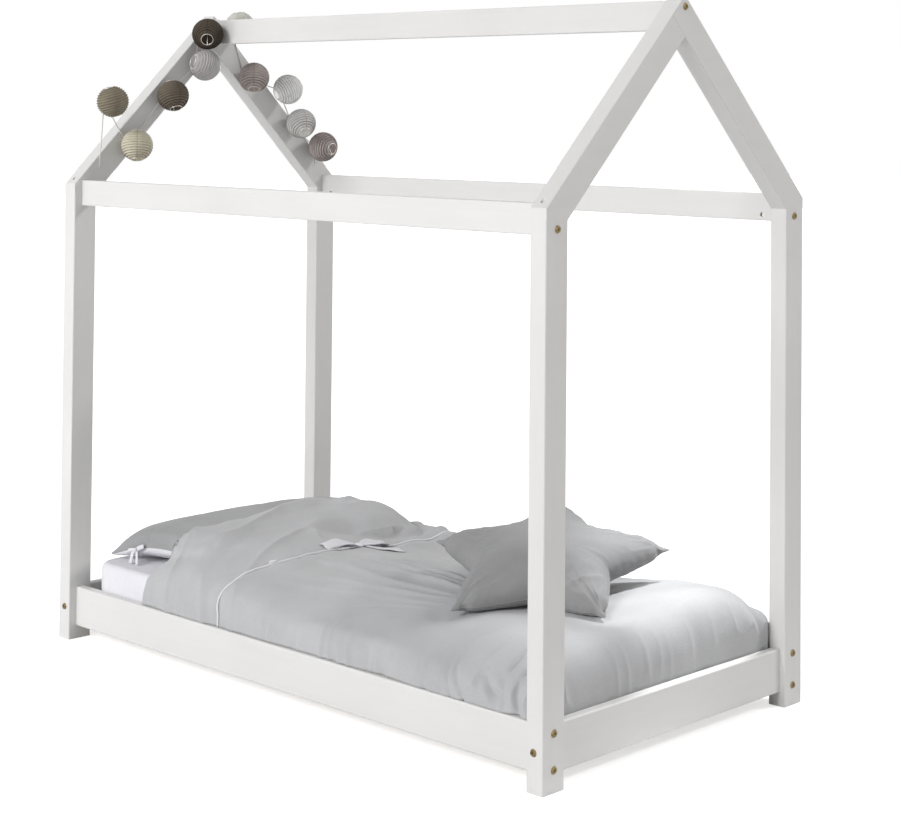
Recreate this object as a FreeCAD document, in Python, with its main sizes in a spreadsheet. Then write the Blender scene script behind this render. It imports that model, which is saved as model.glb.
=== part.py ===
import FreeCAD, Part
import math
import os

import Sketcher

# House frame bed for a 700 x 1400 mm mattress.  +X runs from the head end to the foot end,
# +Y from the near long side to the far one, +Z up, with the origin on the floor at the centre.
# All lengths are in millimetres and all angles in degrees.

SIZES = {
    # the mattress, which sets the inside of the frame
    "mattress_length": 1380,
    "mattress_width": 700,
    "mattress_height": 97,
    "mattress_corner": 45,
    "mattress_edge": 11,
    "mattress_end_room": 64,
    "mattress_foot_gap": 20,
    "mattress_side_gap": 4,
    # the whole frame
    "post_height": 1018,
    "roof_pitch": 45.5,
    # posts and rafters, sawn from one timber section
    "post_depth": 40,
    "post_width": 58,
    "rafter_nose": 23.7,
    "timber_chamfer": 1.5,
    # rails
    "rail_thickness": 22,
    "rail_height": 89,
    "rail_bottom": 29,
    "rail_round": 4,
    "side_lip": 17,
    "end_lip": 7,
    "beam_height": 58,
    "beam_drop": 27,
    "beam_round": 2,
    # fasteners
    "bolt_margin": 12,
    "bolt_diameter": 6,
    "bolt_reach": 9,
    "bolt_head_diameter": 15,
    "bolt_head_height": 2.6,
    "bolt_head_top": 11.6,
    "bolt_socket": 4,
    "bolt_socket_depth": 2.1,
    "bore_clearance": 0.2,
    "bore_end_gap": 3,
    "nut_diameter": 10,
    "nut_length": 15,
    "nut_inset": 34,
    "nut_slot": 1.2,
    "dowel_diameter": 8,
    "dowel_length": 40,
    "dowel_clearance": 0.1,
    "dowel_margin": 18,
    "screw_diameter": 4,
    "screw_head_diameter": 8,
    "screw_head_height": 3,
    "rafter_screw_inset": 12,
    "rafter_screw_sink": 8,
    "rafter_screw_grip": 42,
    # slatted base
    "slat_drop": 40,
    "ledge_width": 24,
    "ledge_height": 26,
    "ledge_end_gap": 1,
    "slat_width": 70,
    "slat_thickness": 17,
    "slat_end_gap": 2,
    "slat_first": 45,
    "tape_width": 25,
    "tape_thickness": 1,
    "tape_inset": 110,
    # bedding
    "sheet_thickness": 0.9,
    "soft_clearance": 0.3,
    "pillow_length": 590,
    "pillow_width": 400,
    "pillow_height": 88,
    "pillow_seam": 26,
    "pillow_head_gap": 18,
    "pillow_near_gap": 40,
    "duvet_thickness": 34,
    "duvet_hem_width": 17,
    "duvet_pillow_room": 3,
    "duvet_head_margin": 198,
    "star_radius": 256,
    "star_half_thickness": 46,
    "star_notch_radius": 136,
    "star_tip_half_width": 15,
    # paper lanterns on a wire along the head gable
    "lantern_radius": 35.5,
    "wire_thickness": 2,
}
SLAT_COUNT = 13
HIDDEN_SIDES = 8      # shanks, pins and bores that the timber hides
BARREL_SIDES = 12     # barrel nuts and their pockets

doc = FreeCAD.newDocument("house_frame_bed")
sheet = doc.addObject("Spreadsheet::Sheet", "Sizes")
for row, (alias, number) in enumerate(SIZES.items(), 1):
    sheet.set("A%d" % row, alias)
    sheet.set("B%d" % row, str(number))
    sheet.setAlias("B%d" % row, alias)
doc.recompute()

X_AXIS = (1, 0, 0)
Y_AXIS = (0, 1, 0)
Z_AXIS = (0, 0, 1)


class Size:
    """A number together with the sheet formula that gives it, so the two always agree."""

    def __init__(self, value, text):
        self.value = float(value)
        self.text = text

    def __add__(self, other):
        other = as_size(other)
        return Size(self.value + other.value, "(%s + %s)" % (self.text, other.text))

    def __sub__(self, other):
        other = as_size(other)
        return Size(self.value - other.value, "(%s - %s)" % (self.text, other.text))

    def __mul__(self, other):
        other = as_size(other)
        return Size(self.value * other.value, "(%s * %s)" % (self.text, other.text))

    def __truediv__(self, other):
        other = as_size(other)
        return Size(self.value / other.value, "(%s / %s)" % (self.text, other.text))

    def __neg__(self):
        return self * -1


def as_size(item):
    return item if isinstance(item, Size) else Size(item, repr(float(item)))


def size(alias):
    return Size(SIZES[alias], "Sizes." + alias)


def trig(function, angle):
    """sin, cos or tan of a Size in degrees, as a Size."""
    value = getattr(math, function)(math.radians(angle.value))
    return Size(value, "%s(%s)" % (function, angle.text))


def bind(item, prop, amount):
    """Drive one property of a document object by the sheet."""
    item.setExpression(prop, as_size(amount).text)


def place(item, x, y, z, axis=Z_AXIS, angle=0.0):
    """Put an object's origin at a point driven by the sheet, turned about an axis."""
    start = FreeCAD.Vector(as_size(x).value, as_size(y).value, as_size(z).value)
    turn = FreeCAD.Rotation(FreeCAD.Vector(*axis), as_size(angle).value)
    item.Placement = FreeCAD.Placement(start, turn)
    bind(item, "Placement.Base.x", x)
    bind(item, "Placement.Base.y", y)
    bind(item, "Placement.Base.z", z)
    if isinstance(angle, Size):
        bind(item, "Placement.Rotation.Angle", angle)


# ------------------------------------------------------------ places worked out from the sizes

POST_DEPTH = size("post_depth")
POST_WIDTH = size("post_width")
END_INNER = (size("mattress_length") + size("mattress_end_room")) / 2
SIDE_INNER = size("mattress_width") / 2 + size("mattress_side_gap")
HALF_LENGTH = END_INNER - size("end_lip") + POST_DEPTH
HALF_WIDTH = SIDE_INNER - size("side_lip") + POST_WIDTH
POST_HEIGHT = size("post_height")
PITCH = size("roof_pitch")
SLOPE = trig("tan", PITCH)
SINE = trig("sin", PITCH)
COSINE = trig("cos", PITCH)
RAFTER_RISE = size("rafter_nose") + POST_WIDTH * SLOPE       # upright depth of a rafter
APEX_RISE = size("rafter_nose") + HALF_WIDTH * SLOPE         # apex above the post tops
APEX_STEP = RAFTER_RISE / (SLOPE * 2)                        # apex centre to the butt joint's end
RAIL_THICKNESS = size("rail_thickness")
RAIL_HEIGHT = size("rail_height")
RAIL_BOTTOM = size("rail_bottom")
RAIL_TOP = RAIL_BOTTOM + RAIL_HEIGHT
SIDE_SPAN = (HALF_LENGTH - POST_DEPTH) * 2
END_SPAN = (HALF_WIDTH - POST_WIDTH) * 2
SIDE_AXIS = HALF_WIDTH - SIDE_INNER - RAIL_THICKNESS / 2     # rail centre, in from the post's side
END_AXIS = HALF_LENGTH - END_INNER - RAIL_THICKNESS / 2      # rail centre, in from the post's end
BEAM_HEIGHT = size("beam_height")
BEAM_BOTTOM = POST_HEIGHT - size("beam_drop")
RIDGE_TOP = POST_HEIGHT + APEX_RISE - RAIL_THICKNESS / 2 * SLOPE
RIDGE_BOTTOM = RIDGE_TOP - BEAM_HEIGHT
MARGIN = size("bolt_margin")
DOWEL_MARGIN = size("dowel_margin")

BOLT_RADIUS = size("bolt_diameter") / 2
BOLT_BORE = BOLT_RADIUS + size("bore_clearance")
NUT_INSET = size("nut_inset")
NUT_BORE = size("nut_diameter") / 2 + size("bore_clearance")
NUT_POCKET = RAIL_THICKNESS / 2 + size("nut_length") / 2
RAIL_BORE_DEPTH = NUT_INSET + size("bolt_reach") + size("bore_end_gap")
DOWEL_BORE = size("dowel_diameter") / 2 + size("dowel_clearance")
DOWEL_HALF = size("dowel_length") / 2
DOWEL_BORE_DEPTH = DOWEL_HALF + 1
SEAT_DOWEL_INSET = POST_WIDTH - size("rafter_screw_inset")
SCREW_BORE = size("screw_diameter") / 2 + size("bore_clearance")
SCREW_HEAD_BORE = size("screw_head_diameter") / 2 + size("bore_clearance")
RAFTER_SCREW_INSET = size("rafter_screw_inset")
RAFTER_SCREW_TOP = (size("rafter_nose") + RAFTER_SCREW_INSET * SLOPE
                    - size("rafter_screw_sink"))             # screw head above the post top

SLAT_TOP = RAIL_TOP - size("slat_drop")
LEDGE_TOP = SLAT_TOP - size("slat_thickness")
LEDGE_SPAN = SIDE_SPAN - size("ledge_end_gap") * 2
MATTRESS_BOTTOM = SLAT_TOP + size("tape_thickness")
SHEET_TOP = MATTRESS_BOTTOM + size("mattress_height") + size("soft_clearance") + size("sheet_thickness")


# ------------------------------------------------------------ building tools

def origin_plane(body, role):
    for feature in body.Origin.OriginFeatures:
        if feature.Role == role:
            return feature
    raise ValueError("no origin plane " + role)


def new_body(label):
    body = doc.addObject("PartDesign::Body", label)
    body.Label = label
    return body


def outline(body, role, points):
    """A closed sketch through points whose places are Sizes, with arcs left to later features."""
    drawing = body.newObject("Sketcher::SketchObject", body.Name + "_outline")
    drawing.AttachmentSupport = [(origin_plane(body, role), "")]
    drawing.MapMode = "FlatFace"
    places = [(as_size(across), as_size(along)) for across, along in points]
    spots = [FreeCAD.Vector(across.value, along.value, 0) for across, along in places]
    for number, spot in enumerate(spots):
        drawing.addGeometry(Part.LineSegment(spot, spots[(number + 1) % len(spots)]), False)
    for number in range(len(spots)):
        drawing.addConstraint(Sketcher.Constraint("Coincident", number, 2, (number + 1) % len(spots), 1))
    for number, (across, along) in enumerate(places):
        for kind, amount in (("DistanceX", across), ("DistanceY", along)):
            pin = drawing.addConstraint(Sketcher.Constraint(kind, -1, 1, number, 1, amount.value))
            drawing.setExpression("Constraints[%d]" % pin, amount.text)
    return drawing


def pad(body, drawing, length, symmetric=False):
    feature = body.newObject("PartDesign::Pad", body.Name + "_pad")
    feature.Profile = drawing
    feature.SideType = "Symmetric" if symmetric else "One side"
    feature.Length = length.value
    bind(feature, "Length", length)
    doc.recompute()
    return feature


def spin(body, drawing):
    """Turn a half section about the body's Z axis."""
    feature = body.newObject("PartDesign::Revolution", body.Name + "_turned")
    feature.Profile = drawing
    feature.ReferenceAxis = (drawing, ["V_Axis"])
    feature.Angle = 360
    doc.recompute()
    return feature


def dress_edges(body, feature, kind, prop, amount, wanted):
    names = ["Edge%d" % number for number, edge in enumerate(feature.Shape.Edges, 1) if wanted(edge)]
    dressing = body.newObject("PartDesign::" + kind, body.Name + "_edges_%d" % len(body.Group))
    dressing.Base = (feature, names)
    setattr(dressing, prop, amount.value)
    bind(dressing, prop, amount)
    doc.recompute()
    return dressing


def round_edges(body, feature, radius, wanted):
    """Fillet the edges of a feature for which wanted(edge) is true."""
    return dress_edges(body, feature, "Fillet", "Radius", radius, wanted)


def chamfer_edges(body, feature, amount, wanted):
    return dress_edges(body, feature, "Chamfer", "Size", amount, wanted)


def runs_along(axis):
    direction = FreeCAD.Vector(*axis)

    def check(edge):
        if not isinstance(edge.Curve, Part.Line):
            return False
        return abs(abs(edge.tangentAt(edge.FirstParameter).dot(direction)) - 1) < 1e-6
    return check


def bore(body, radius, depth, x, y, z, axis=Z_AXIS, angle=0.0):
    """Cut a round hole that starts at a point; unturned, it runs up +Z."""
    hole = body.newObject("PartDesign::SubtractiveCylinder", body.Name + "_bore_%d" % len(body.Group))
    hole.Radius = radius.value
    hole.Height = as_size(depth).value
    bind(hole, "Radius", radius)
    bind(hole, "Height", depth)
    place(hole, x, y, z, axis, angle)
    return hole


def many_sided(prism, sides, radius, depth):
    """Size a prism by the radius of the circle round it."""
    prism.Polygon = sides
    prism.Circumradius = radius.value
    prism.Height = as_size(depth).value
    bind(prism, "Circumradius", radius)
    bind(prism, "Height", depth)


def sided_bore(body, radius, depth, x, y, z, axis=Z_AXIS, angle=0.0, sides=HIDDEN_SIDES):
    """A hole of flat sides that all lie at the radius or beyond; unturned, it runs up +Z."""
    hole = body.newObject("PartDesign::SubtractivePrism", body.Name + "_bore_%d" % len(body.Group))
    many_sided(hole, sides, radius / math.cos(math.pi / sides), depth)
    place(hole, x, y, z, axis, angle)
    return hole


TO_PLUS_X = (Y_AXIS, 90.0)
TO_MINUS_X = (Y_AXIS, -90.0)
TO_PLUS_Y = (X_AXIS, -90.0)
TO_MINUS_Y = (X_AXIS, 90.0)
TO_MINUS_Z = (X_AXIS, 180.0)


def box(label, length, width, height, x, y, z):
    """A rectangular block from its lowest corner."""
    block = doc.addObject("Part::Box", label)
    block.Label = label
    bind(block, "Length", length)
    bind(block, "Width", width)
    bind(block, "Height", height)
    place(block, x, y, z)
    return block


def group(label, items):
    """Several separate solids in one node."""
    together = doc.addObject("Part::Compound", label)
    together.Label = label
    together.Links = items
    return together


def mirrored(source, normal):
    other = doc.addObject("Part::Mirroring", source.Name + "_mirror")
    other.Source = source
    other.Base = (0, 0, 0)
    other.Normal = normal
    return other


def both_ends(label, items):
    one_end = group(label + "_one_end", items)
    return group(label, [one_end, mirrored(one_end, X_AXIS)])


def four_corners(label, items):
    one_side = both_ends(label + "_one_side", items)
    return group(label, [one_side, mirrored(one_side, Y_AXIS)])


# ------------------------------------------------------------ posts

def make_post(label, x, y, angle, end_axis):
    """A post with its side face on local y = 0; end_axis is the end rail's centre in local x."""
    body = new_body(label)
    stock = pad(body, outline(body, "XY_Plane", [
        (0, 0), (POST_DEPTH, 0), (POST_DEPTH, POST_WIDTH), (0, POST_WIDTH)]), POST_HEIGHT)
    chamfer_edges(body, stock, size("timber_chamfer"), runs_along(Z_AXIS))
    for level in (RAIL_BOTTOM + MARGIN, RAIL_TOP - MARGIN, BEAM_BOTTOM + MARGIN):
        sided_bore(body, BOLT_BORE, POST_DEPTH, 0, SIDE_AXIS, level, *TO_PLUS_X)
    sided_bore(body, BOLT_BORE, POST_WIDTH, end_axis, 0, RAIL_BOTTOM + RAIL_HEIGHT / 2, *TO_PLUS_Y)
    for level in (RAIL_BOTTOM + DOWEL_MARGIN, RAIL_TOP - DOWEL_MARGIN):
        sided_bore(body, DOWEL_BORE, DOWEL_BORE_DEPTH, end_axis, POST_WIDTH, level, *TO_MINUS_Y)
    sided_bore(body, DOWEL_BORE, DOWEL_BORE_DEPTH, POST_DEPTH / 2, SEAT_DOWEL_INSET, POST_HEIGHT,
               *TO_MINUS_Z)
    sided_bore(body, SCREW_BORE, size("rafter_screw_grip") + 2, POST_DEPTH / 2, RAFTER_SCREW_INSET,
               POST_HEIGHT, *TO_MINUS_Z)
    place(body, x, y, 0, Z_AXIS, angle)
    doc.recompute()
    return body


posts = [
    make_post("post_head_near", -HALF_LENGTH, -HALF_WIDTH, 0.0, END_AXIS),
    make_post("post_foot_far", HALF_LENGTH, HALF_WIDTH, 180.0, END_AXIS),
    make_post("post_foot_near", HALF_LENGTH - POST_DEPTH, -HALF_WIDTH, 0.0, POST_DEPTH - END_AXIS),
    make_post("post_head_far", POST_DEPTH - HALF_LENGTH, HALF_WIDTH, 180.0, POST_DEPTH - END_AXIS),
]


# ------------------------------------------------------------ rafters and gables

# One gable is a long rafter, which runs to the apex and past it down to the other slope, and a
# short one that butts square against its underside.  The two gables are the same, turned about.

LONG_SIDE = [
    (0, 0),
    (POST_WIDTH, 0),
    (HALF_WIDTH + APEX_STEP, APEX_RISE - RAFTER_RISE / 2),
    (HALF_WIDTH, APEX_RISE),
    (0, size("rafter_nose")),
]
SHORT_SIDE = [
    (0, 0),
    (POST_WIDTH, 0),
    (HALF_WIDTH, APEX_RISE - RAFTER_RISE),
    (HALF_WIDTH - APEX_STEP, APEX_RISE - RAFTER_RISE / 2),
    (0, size("rafter_nose")),
]
APEX_DOWEL_SHARE = 0.53    # place of the dowel along the butt joint, clear of the ridge's bolt and dowel


def along_butt_joint(share):
    """A point of the butt joint as (distance from the apex centre, height above the post tops)."""
    return APEX_STEP * share, APEX_RISE - RAFTER_RISE * (1 - share / 2)


def cut_rafter_foot(body, inner_face, toward_outer):
    """Bores where a rafter sits on its post and where the eaves rail's dowel enters."""
    middle = POST_DEPTH / 2
    sided_bore(body, DOWEL_BORE, DOWEL_BORE_DEPTH, middle, SEAT_DOWEL_INSET, 0)
    sided_bore(body, SCREW_BORE, RAFTER_SCREW_TOP, middle, RAFTER_SCREW_INSET, 0)
    bore(body, SCREW_HEAD_BORE, POST_WIDTH, middle, RAFTER_SCREW_INSET,
         RAFTER_SCREW_TOP - size("screw_head_height"))
    level = BEAM_BOTTOM + BEAM_HEIGHT - MARGIN - POST_HEIGHT
    sided_bore(body, DOWEL_BORE, DOWEL_BORE_DEPTH, inner_face, SIDE_AXIS, level, *toward_outer)


def is_sloping(edge):
    """True for an edge that rises with +Y, as a rafter's long edges do."""
    if not isinstance(edge.Curve, Part.Line):
        return False
    direction = edge.tangentAt(edge.FirstParameter)
    return direction.y * direction.z > 0.01


def make_long_rafter(label, x, y, angle):
    body = new_body(label)
    stock = pad(body, outline(body, "YZ_Plane", LONG_SIDE), POST_DEPTH)
    chamfer_edges(body, stock, size("timber_chamfer"), is_sloping)
    cut_rafter_foot(body, POST_DEPTH, TO_MINUS_X)
    sided_bore(body, BOLT_BORE, POST_DEPTH, 0, HALF_WIDTH, RIDGE_TOP - MARGIN - POST_HEIGHT, *TO_PLUS_X)
    sided_bore(body, DOWEL_BORE, DOWEL_BORE_DEPTH, POST_DEPTH, HALF_WIDTH,
               RIDGE_BOTTOM + MARGIN - POST_HEIGHT, *TO_MINUS_X)
    across, rise = along_butt_joint(APEX_DOWEL_SHARE)
    sided_bore(body, DOWEL_BORE, DOWEL_BORE_DEPTH, POST_DEPTH / 2, HALF_WIDTH + across, rise,
               X_AXIS, PITCH)
    place(body, x, y, POST_HEIGHT, Z_AXIS, angle)
    doc.recompute()
    return body


def make_short_rafter(label, x, y, angle):
    body = new_body(label)
    stock = pad(body, outline(body, "YZ_Plane", SHORT_SIDE), POST_DEPTH)
    chamfer_edges(body, stock, size("timber_chamfer"), is_sloping)
    cut_rafter_foot(body, 0, TO_PLUS_X)
    across, rise = along_butt_joint(APEX_DOWEL_SHARE)
    sided_bore(body, DOWEL_BORE, DOWEL_BORE_DEPTH, POST_DEPTH / 2, HALF_WIDTH - across, rise,
               X_AXIS, as_size(180) - PITCH)
    place(body, x, y, POST_HEIGHT, Z_AXIS, angle)
    doc.recompute()
    return body


rafters = [
    make_long_rafter("rafter_foot_far", HALF_LENGTH, HALF_WIDTH, 180.0),
    make_short_rafter("rafter_foot_near", HALF_LENGTH - POST_DEPTH, -HALF_WIDTH, 0.0),
    make_long_rafter("rafter_head_near", -HALF_LENGTH, -HALF_WIDTH, 0.0),
    make_short_rafter("rafter_head_far", POST_DEPTH - HALF_LENGTH, HALF_WIDTH, 180.0),
]


# ------------------------------------------------------------ rails and beams

def make_rail(label, span, height, rounding, bolt_levels, dowel_levels):
    """A rail centred on local x = 0 with its outer face on y = 0; levels start at its own bottom."""
    body = new_body(label)
    stock = pad(body, outline(body, "YZ_Plane", [
        (0, 0), (RAIL_THICKNESS, 0), (RAIL_THICKNESS, height), (0, height)]), span, symmetric=True)
    round_edges(body, stock, rounding, runs_along(X_AXIS))
    middle = RAIL_THICKNESS / 2
    for end, inward in ((1, TO_MINUS_X), (-1, TO_PLUS_X)):
        for level in bolt_levels:
            sided_bore(body, BOLT_BORE, RAIL_BORE_DEPTH, span / 2 * end, middle, level, *inward)
            sided_bore(body, NUT_BORE, NUT_POCKET, (span / 2 - NUT_INSET) * end, RAIL_THICKNESS, level,
                       *TO_MINUS_Y, sides=BARREL_SIDES)
        for level in dowel_levels:
            sided_bore(body, DOWEL_BORE, DOWEL_BORE_DEPTH, span / 2 * end, middle, level, *inward)
    doc.recompute()
    return body


BOLT_LEVELS = (MARGIN, RAIL_HEIGHT - MARGIN)
rails = []
for label, turn, side in (("side_rail_near", 0.0, -1), ("side_rail_far", 180.0, 1)):
    rail = make_rail(label, SIDE_SPAN, RAIL_HEIGHT, size("rail_round"), BOLT_LEVELS, ())
    place(rail, 0, (SIDE_INNER + RAIL_THICKNESS) * side, RAIL_BOTTOM, Z_AXIS, turn)
    rails.append(rail)
for label, turn, side in (("end_rail_head", -90.0, -1), ("end_rail_foot", 90.0, 1)):
    rail = make_rail(label, END_SPAN, RAIL_HEIGHT, size("rail_round"), (RAIL_HEIGHT / 2,),
                     (DOWEL_MARGIN, RAIL_HEIGHT - DOWEL_MARGIN))
    place(rail, (END_INNER + RAIL_THICKNESS) * side, 0, RAIL_BOTTOM, Z_AXIS, turn)
    rails.append(rail)
for label, turn, side in (("eaves_rail_near", 0.0, -1), ("eaves_rail_far", 180.0, 1)):
    rail = make_rail(label, SIDE_SPAN, BEAM_HEIGHT, size("beam_round"), (MARGIN,),
                     (BEAM_HEIGHT - MARGIN,))
    place(rail, 0, (SIDE_INNER + RAIL_THICKNESS) * side, BEAM_BOTTOM, Z_AXIS, turn)
    rails.append(rail)
ridge = make_rail("ridge_beam", SIDE_SPAN, BEAM_HEIGHT, size("beam_round"), (BEAM_HEIGHT - MARGIN,),
                  (MARGIN,))
place(ridge, 0, -RAIL_THICKNESS / 2, RIDGE_BOTTOM)
rails.append(ridge)
doc.recompute()


# ------------------------------------------------------------ bolts, nuts, dowels and screws

def add_shank(body, radius, grip):
    """A shank below the origin, inside the circle of its radius."""
    shank = body.newObject("PartDesign::AdditivePrism", body.Name + "_shank")
    many_sided(shank, HIDDEN_SIDES, radius, grip)
    place(shank, 0, 0, -grip)


def make_bolt(name, grip, x, y, z, axis, angle):
    """A furniture bolt with a low domed head and a hexagon socket; unturned, its head is up."""
    body = new_body(name)
    height = size("bolt_head_height")
    spin(body, outline(body, "XZ_Plane", [
        (0, 0), (size("bolt_head_diameter") / 2, 0), (size("bolt_head_top") / 2, height), (0, height)]))
    add_shank(body, BOLT_RADIUS, grip)
    socket = body.newObject("PartDesign::SubtractivePrism", name + "_socket")
    many_sided(socket, 6, size("bolt_socket") / math.sqrt(3), size("bolt_socket_depth"))
    place(socket, 0, 0, height - size("bolt_socket_depth"))
    place(body, x, y, z, axis, angle)
    return body


def make_nut(name, x, y, z, to_inside, bolt_runs):
    """A barrel nut from its outer end; bolt_runs is the turn that lays its cross bore."""
    body = new_body(name)
    barrel = body.newObject("PartDesign::AdditivePrism", name + "_barrel")
    many_sided(barrel, BARREL_SIDES, size("nut_diameter") / 2, size("nut_length"))
    middle = size("nut_length") / 2
    reach = size("nut_diameter")
    start = (-reach, 0) if bolt_runs is TO_PLUS_X else (0, -reach)
    sided_bore(body, BOLT_BORE, reach * 2, start[0], start[1], middle, *bolt_runs)
    slot = body.newObject("PartDesign::SubtractiveBox", name + "_slot")
    long_way, short_way = ("Length", "Width") if bolt_runs is TO_PLUS_X else ("Width", "Length")
    bind(slot, long_way, reach * 2)
    bind(slot, short_way, size("nut_slot"))
    bind(slot, "Height", size("nut_slot"))
    half_slot = size("nut_slot") / 2
    corner = (-reach, -half_slot) if bolt_runs is TO_PLUS_X else (-half_slot, -reach)
    place(slot, corner[0], corner[1], size("nut_length") - size("nut_slot"))
    place(body, x, y, z, *to_inside)
    return body


def make_dowel(name, x, y, z, axis=Z_AXIS, angle=0.0):
    """A wooden dowel from its lower end; unturned, it runs up +Z."""
    dowel = doc.addObject("Part::Prism", name)
    many_sided(dowel, HIDDEN_SIDES, size("dowel_diameter") / 2, size("dowel_length"))
    place(dowel, x, y, z, axis, angle)
    return dowel


def make_screw(name, grip, x, y, z, axis=Z_AXIS, angle=0.0):
    """A countersunk screw with its origin under the head; unturned, its head is up."""
    body = new_body(name)
    shank = size("screw_diameter") / 2
    height = size("screw_head_height")
    spin(body, outline(body, "XZ_Plane", [
        (0, 0), (shank, 0), (size("screw_head_diameter") / 2, height), (0, height)]))
    add_shank(body, shank, grip)
    place(body, x, y, z, axis, angle)
    return body


INNER_END = HALF_LENGTH - POST_DEPTH              # inner face of the foot posts, in x
INNER_SIDE = HALF_WIDTH - POST_WIDTH              # inner side face of the far posts, in y
SIDE_LINE = HALF_WIDTH - SIDE_AXIS                # y of the side and eaves rails' centre line
END_LINE = HALF_LENGTH - END_AXIS                 # x of the end rails' centre line
SIDE_BOLT_GRIP = POST_DEPTH + NUT_INSET + size("bolt_reach")
END_BOLT_GRIP = POST_WIDTH + NUT_INSET + size("bolt_reach")
NUT_START = size("nut_length") / 2

side_levels = (RAIL_BOTTOM + MARGIN, RAIL_TOP - MARGIN)
fasteners = [
    four_corners("side_rail_bolts", [
        make_bolt("side_bolt_%d" % number, SIDE_BOLT_GRIP, HALF_LENGTH, -SIDE_LINE, level, *TO_PLUS_X)
        for number, level in enumerate(side_levels, 1)]),
    four_corners("end_rail_bolts", [
        make_bolt("end_bolt", END_BOLT_GRIP, END_LINE, -HALF_WIDTH, RAIL_BOTTOM + RAIL_HEIGHT / 2,
                  *TO_MINUS_Y)]),
    four_corners("eaves_rail_bolts", [
        make_bolt("eaves_bolt", SIDE_BOLT_GRIP, HALF_LENGTH, -SIDE_LINE, BEAM_BOTTOM + MARGIN,
                  *TO_PLUS_X)]),
    both_ends("ridge_beam_bolts", [
        make_bolt("ridge_bolt", SIDE_BOLT_GRIP, HALF_LENGTH, 0, RIDGE_TOP - MARGIN, *TO_PLUS_X)]),
    four_corners("side_rail_barrel_nuts", [
        make_nut("side_nut_%d" % number, INNER_END - NUT_INSET, -SIDE_LINE - NUT_START, level,
                 TO_PLUS_Y, TO_PLUS_X)
        for number, level in enumerate(side_levels, 1)]),
    four_corners("end_rail_barrel_nuts", [
        make_nut("end_nut", END_LINE + NUT_START, -INNER_SIDE + NUT_INSET,
                 RAIL_BOTTOM + RAIL_HEIGHT / 2, TO_MINUS_X, TO_PLUS_Y)]),
    four_corners("eaves_rail_barrel_nuts", [
        make_nut("eaves_nut", INNER_END - NUT_INSET, -SIDE_LINE - NUT_START, BEAM_BOTTOM + MARGIN,
                 TO_PLUS_Y, TO_PLUS_X)]),
    both_ends("ridge_beam_barrel_nuts", [
        make_nut("ridge_nut", INNER_END - NUT_INSET, -NUT_START, RIDGE_TOP - MARGIN,
                 TO_PLUS_Y, TO_PLUS_X)]),
    four_corners("end_rail_dowels", [
        make_dowel("end_dowel_%d" % number, END_LINE, -INNER_SIDE - DOWEL_HALF, level, *TO_PLUS_Y)
        for number, level in enumerate((RAIL_BOTTOM + DOWEL_MARGIN, RAIL_TOP - DOWEL_MARGIN), 1)]),
    four_corners("eaves_rail_dowels", [
        make_dowel("eaves_dowel", INNER_END - DOWEL_HALF, -SIDE_LINE,
                   BEAM_BOTTOM + BEAM_HEIGHT - MARGIN, *TO_PLUS_X)]),
    both_ends("ridge_beam_dowels", [
        make_dowel("ridge_dowel", INNER_END - DOWEL_HALF, 0, RIDGE_BOTTOM + MARGIN, *TO_PLUS_X)]),
    four_corners("rafter_seat_dowels", [
        make_dowel("seat_dowel", INNER_END + POST_DEPTH / 2, -HALF_WIDTH + SEAT_DOWEL_INSET,
                   POST_HEIGHT - DOWEL_HALF)]),
    four_corners("rafter_seat_screws", [
        make_screw("seat_screw", RAFTER_SCREW_TOP - size("screw_head_height") + size("rafter_screw_grip"),
                   INNER_END + POST_DEPTH / 2, -HALF_WIDTH + RAFTER_SCREW_INSET,
                   POST_HEIGHT + RAFTER_SCREW_TOP - size("screw_head_height"))]),
]


def make_apex_dowel(sign, axis, suffix):
    """The dowel through one gable's butt joint; sign is 1 at the foot and -1 at the head."""
    middle = (INNER_END + POST_DEPTH / 2) * sign
    across, rise = along_butt_joint(APEX_DOWEL_SHARE)
    return make_dowel("apex_dowel_" + suffix, middle, -(across + DOWEL_HALF * SINE) * sign,
                      POST_HEIGHT + rise - DOWEL_HALF * COSINE, axis, PITCH)


fasteners.append(group("apex_dowels", [
    make_apex_dowel(-1, X_AXIS, "head"), make_apex_dowel(1, (-1, 0, 0), "foot")]))


# ------------------------------------------------------------ slatted base

def make_ledge(label, side, turn):
    """A batten screwed to a side rail; local y = 0 is the face against the rail."""
    body = new_body(label)
    width = size("ledge_width")
    height = size("ledge_height")
    stock = pad(body, outline(body, "YZ_Plane", [(0, 0), (width, 0), (width, height), (0, height)]),
                LEDGE_SPAN, symmetric=True)
    chamfer_edges(body, stock, size("timber_chamfer"), runs_along(X_AXIS))
    place(body, 0, SIDE_INNER * side, LEDGE_TOP - height, Z_AXIS, turn)
    return body


base = [make_ledge("slat_ledge_near", -1, 0.0), make_ledge("slat_ledge_far", 1, 180.0)]

FIRST_SLAT = size("slat_first") - END_INNER
SLAT_PITCH = (-FIRST_SLAT * 2 - size("slat_width")) / (SLAT_COUNT - 1)
SLAT_END = SIDE_INNER - size("slat_end_gap")
for number in range(SLAT_COUNT):
    base.append(box("slat_%02d" % (number + 1), size("slat_width"), SLAT_END * 2, size("slat_thickness"),
                    FIRST_SLAT + SLAT_PITCH * number, -SLAT_END, LEDGE_TOP))
for label, side in (("slat_tape_near", -1), ("slat_tape_far", 1)):
    base.append(box(label, -FIRST_SLAT * 2, size("tape_width"), size("tape_thickness"), FIRST_SLAT,
                    (SIDE_INNER - size("tape_inset")) * side - size("tape_width") / 2, SLAT_TOP))
doc.recompute()


# ------------------------------------------------------------ mattress and fitted sheet

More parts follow.
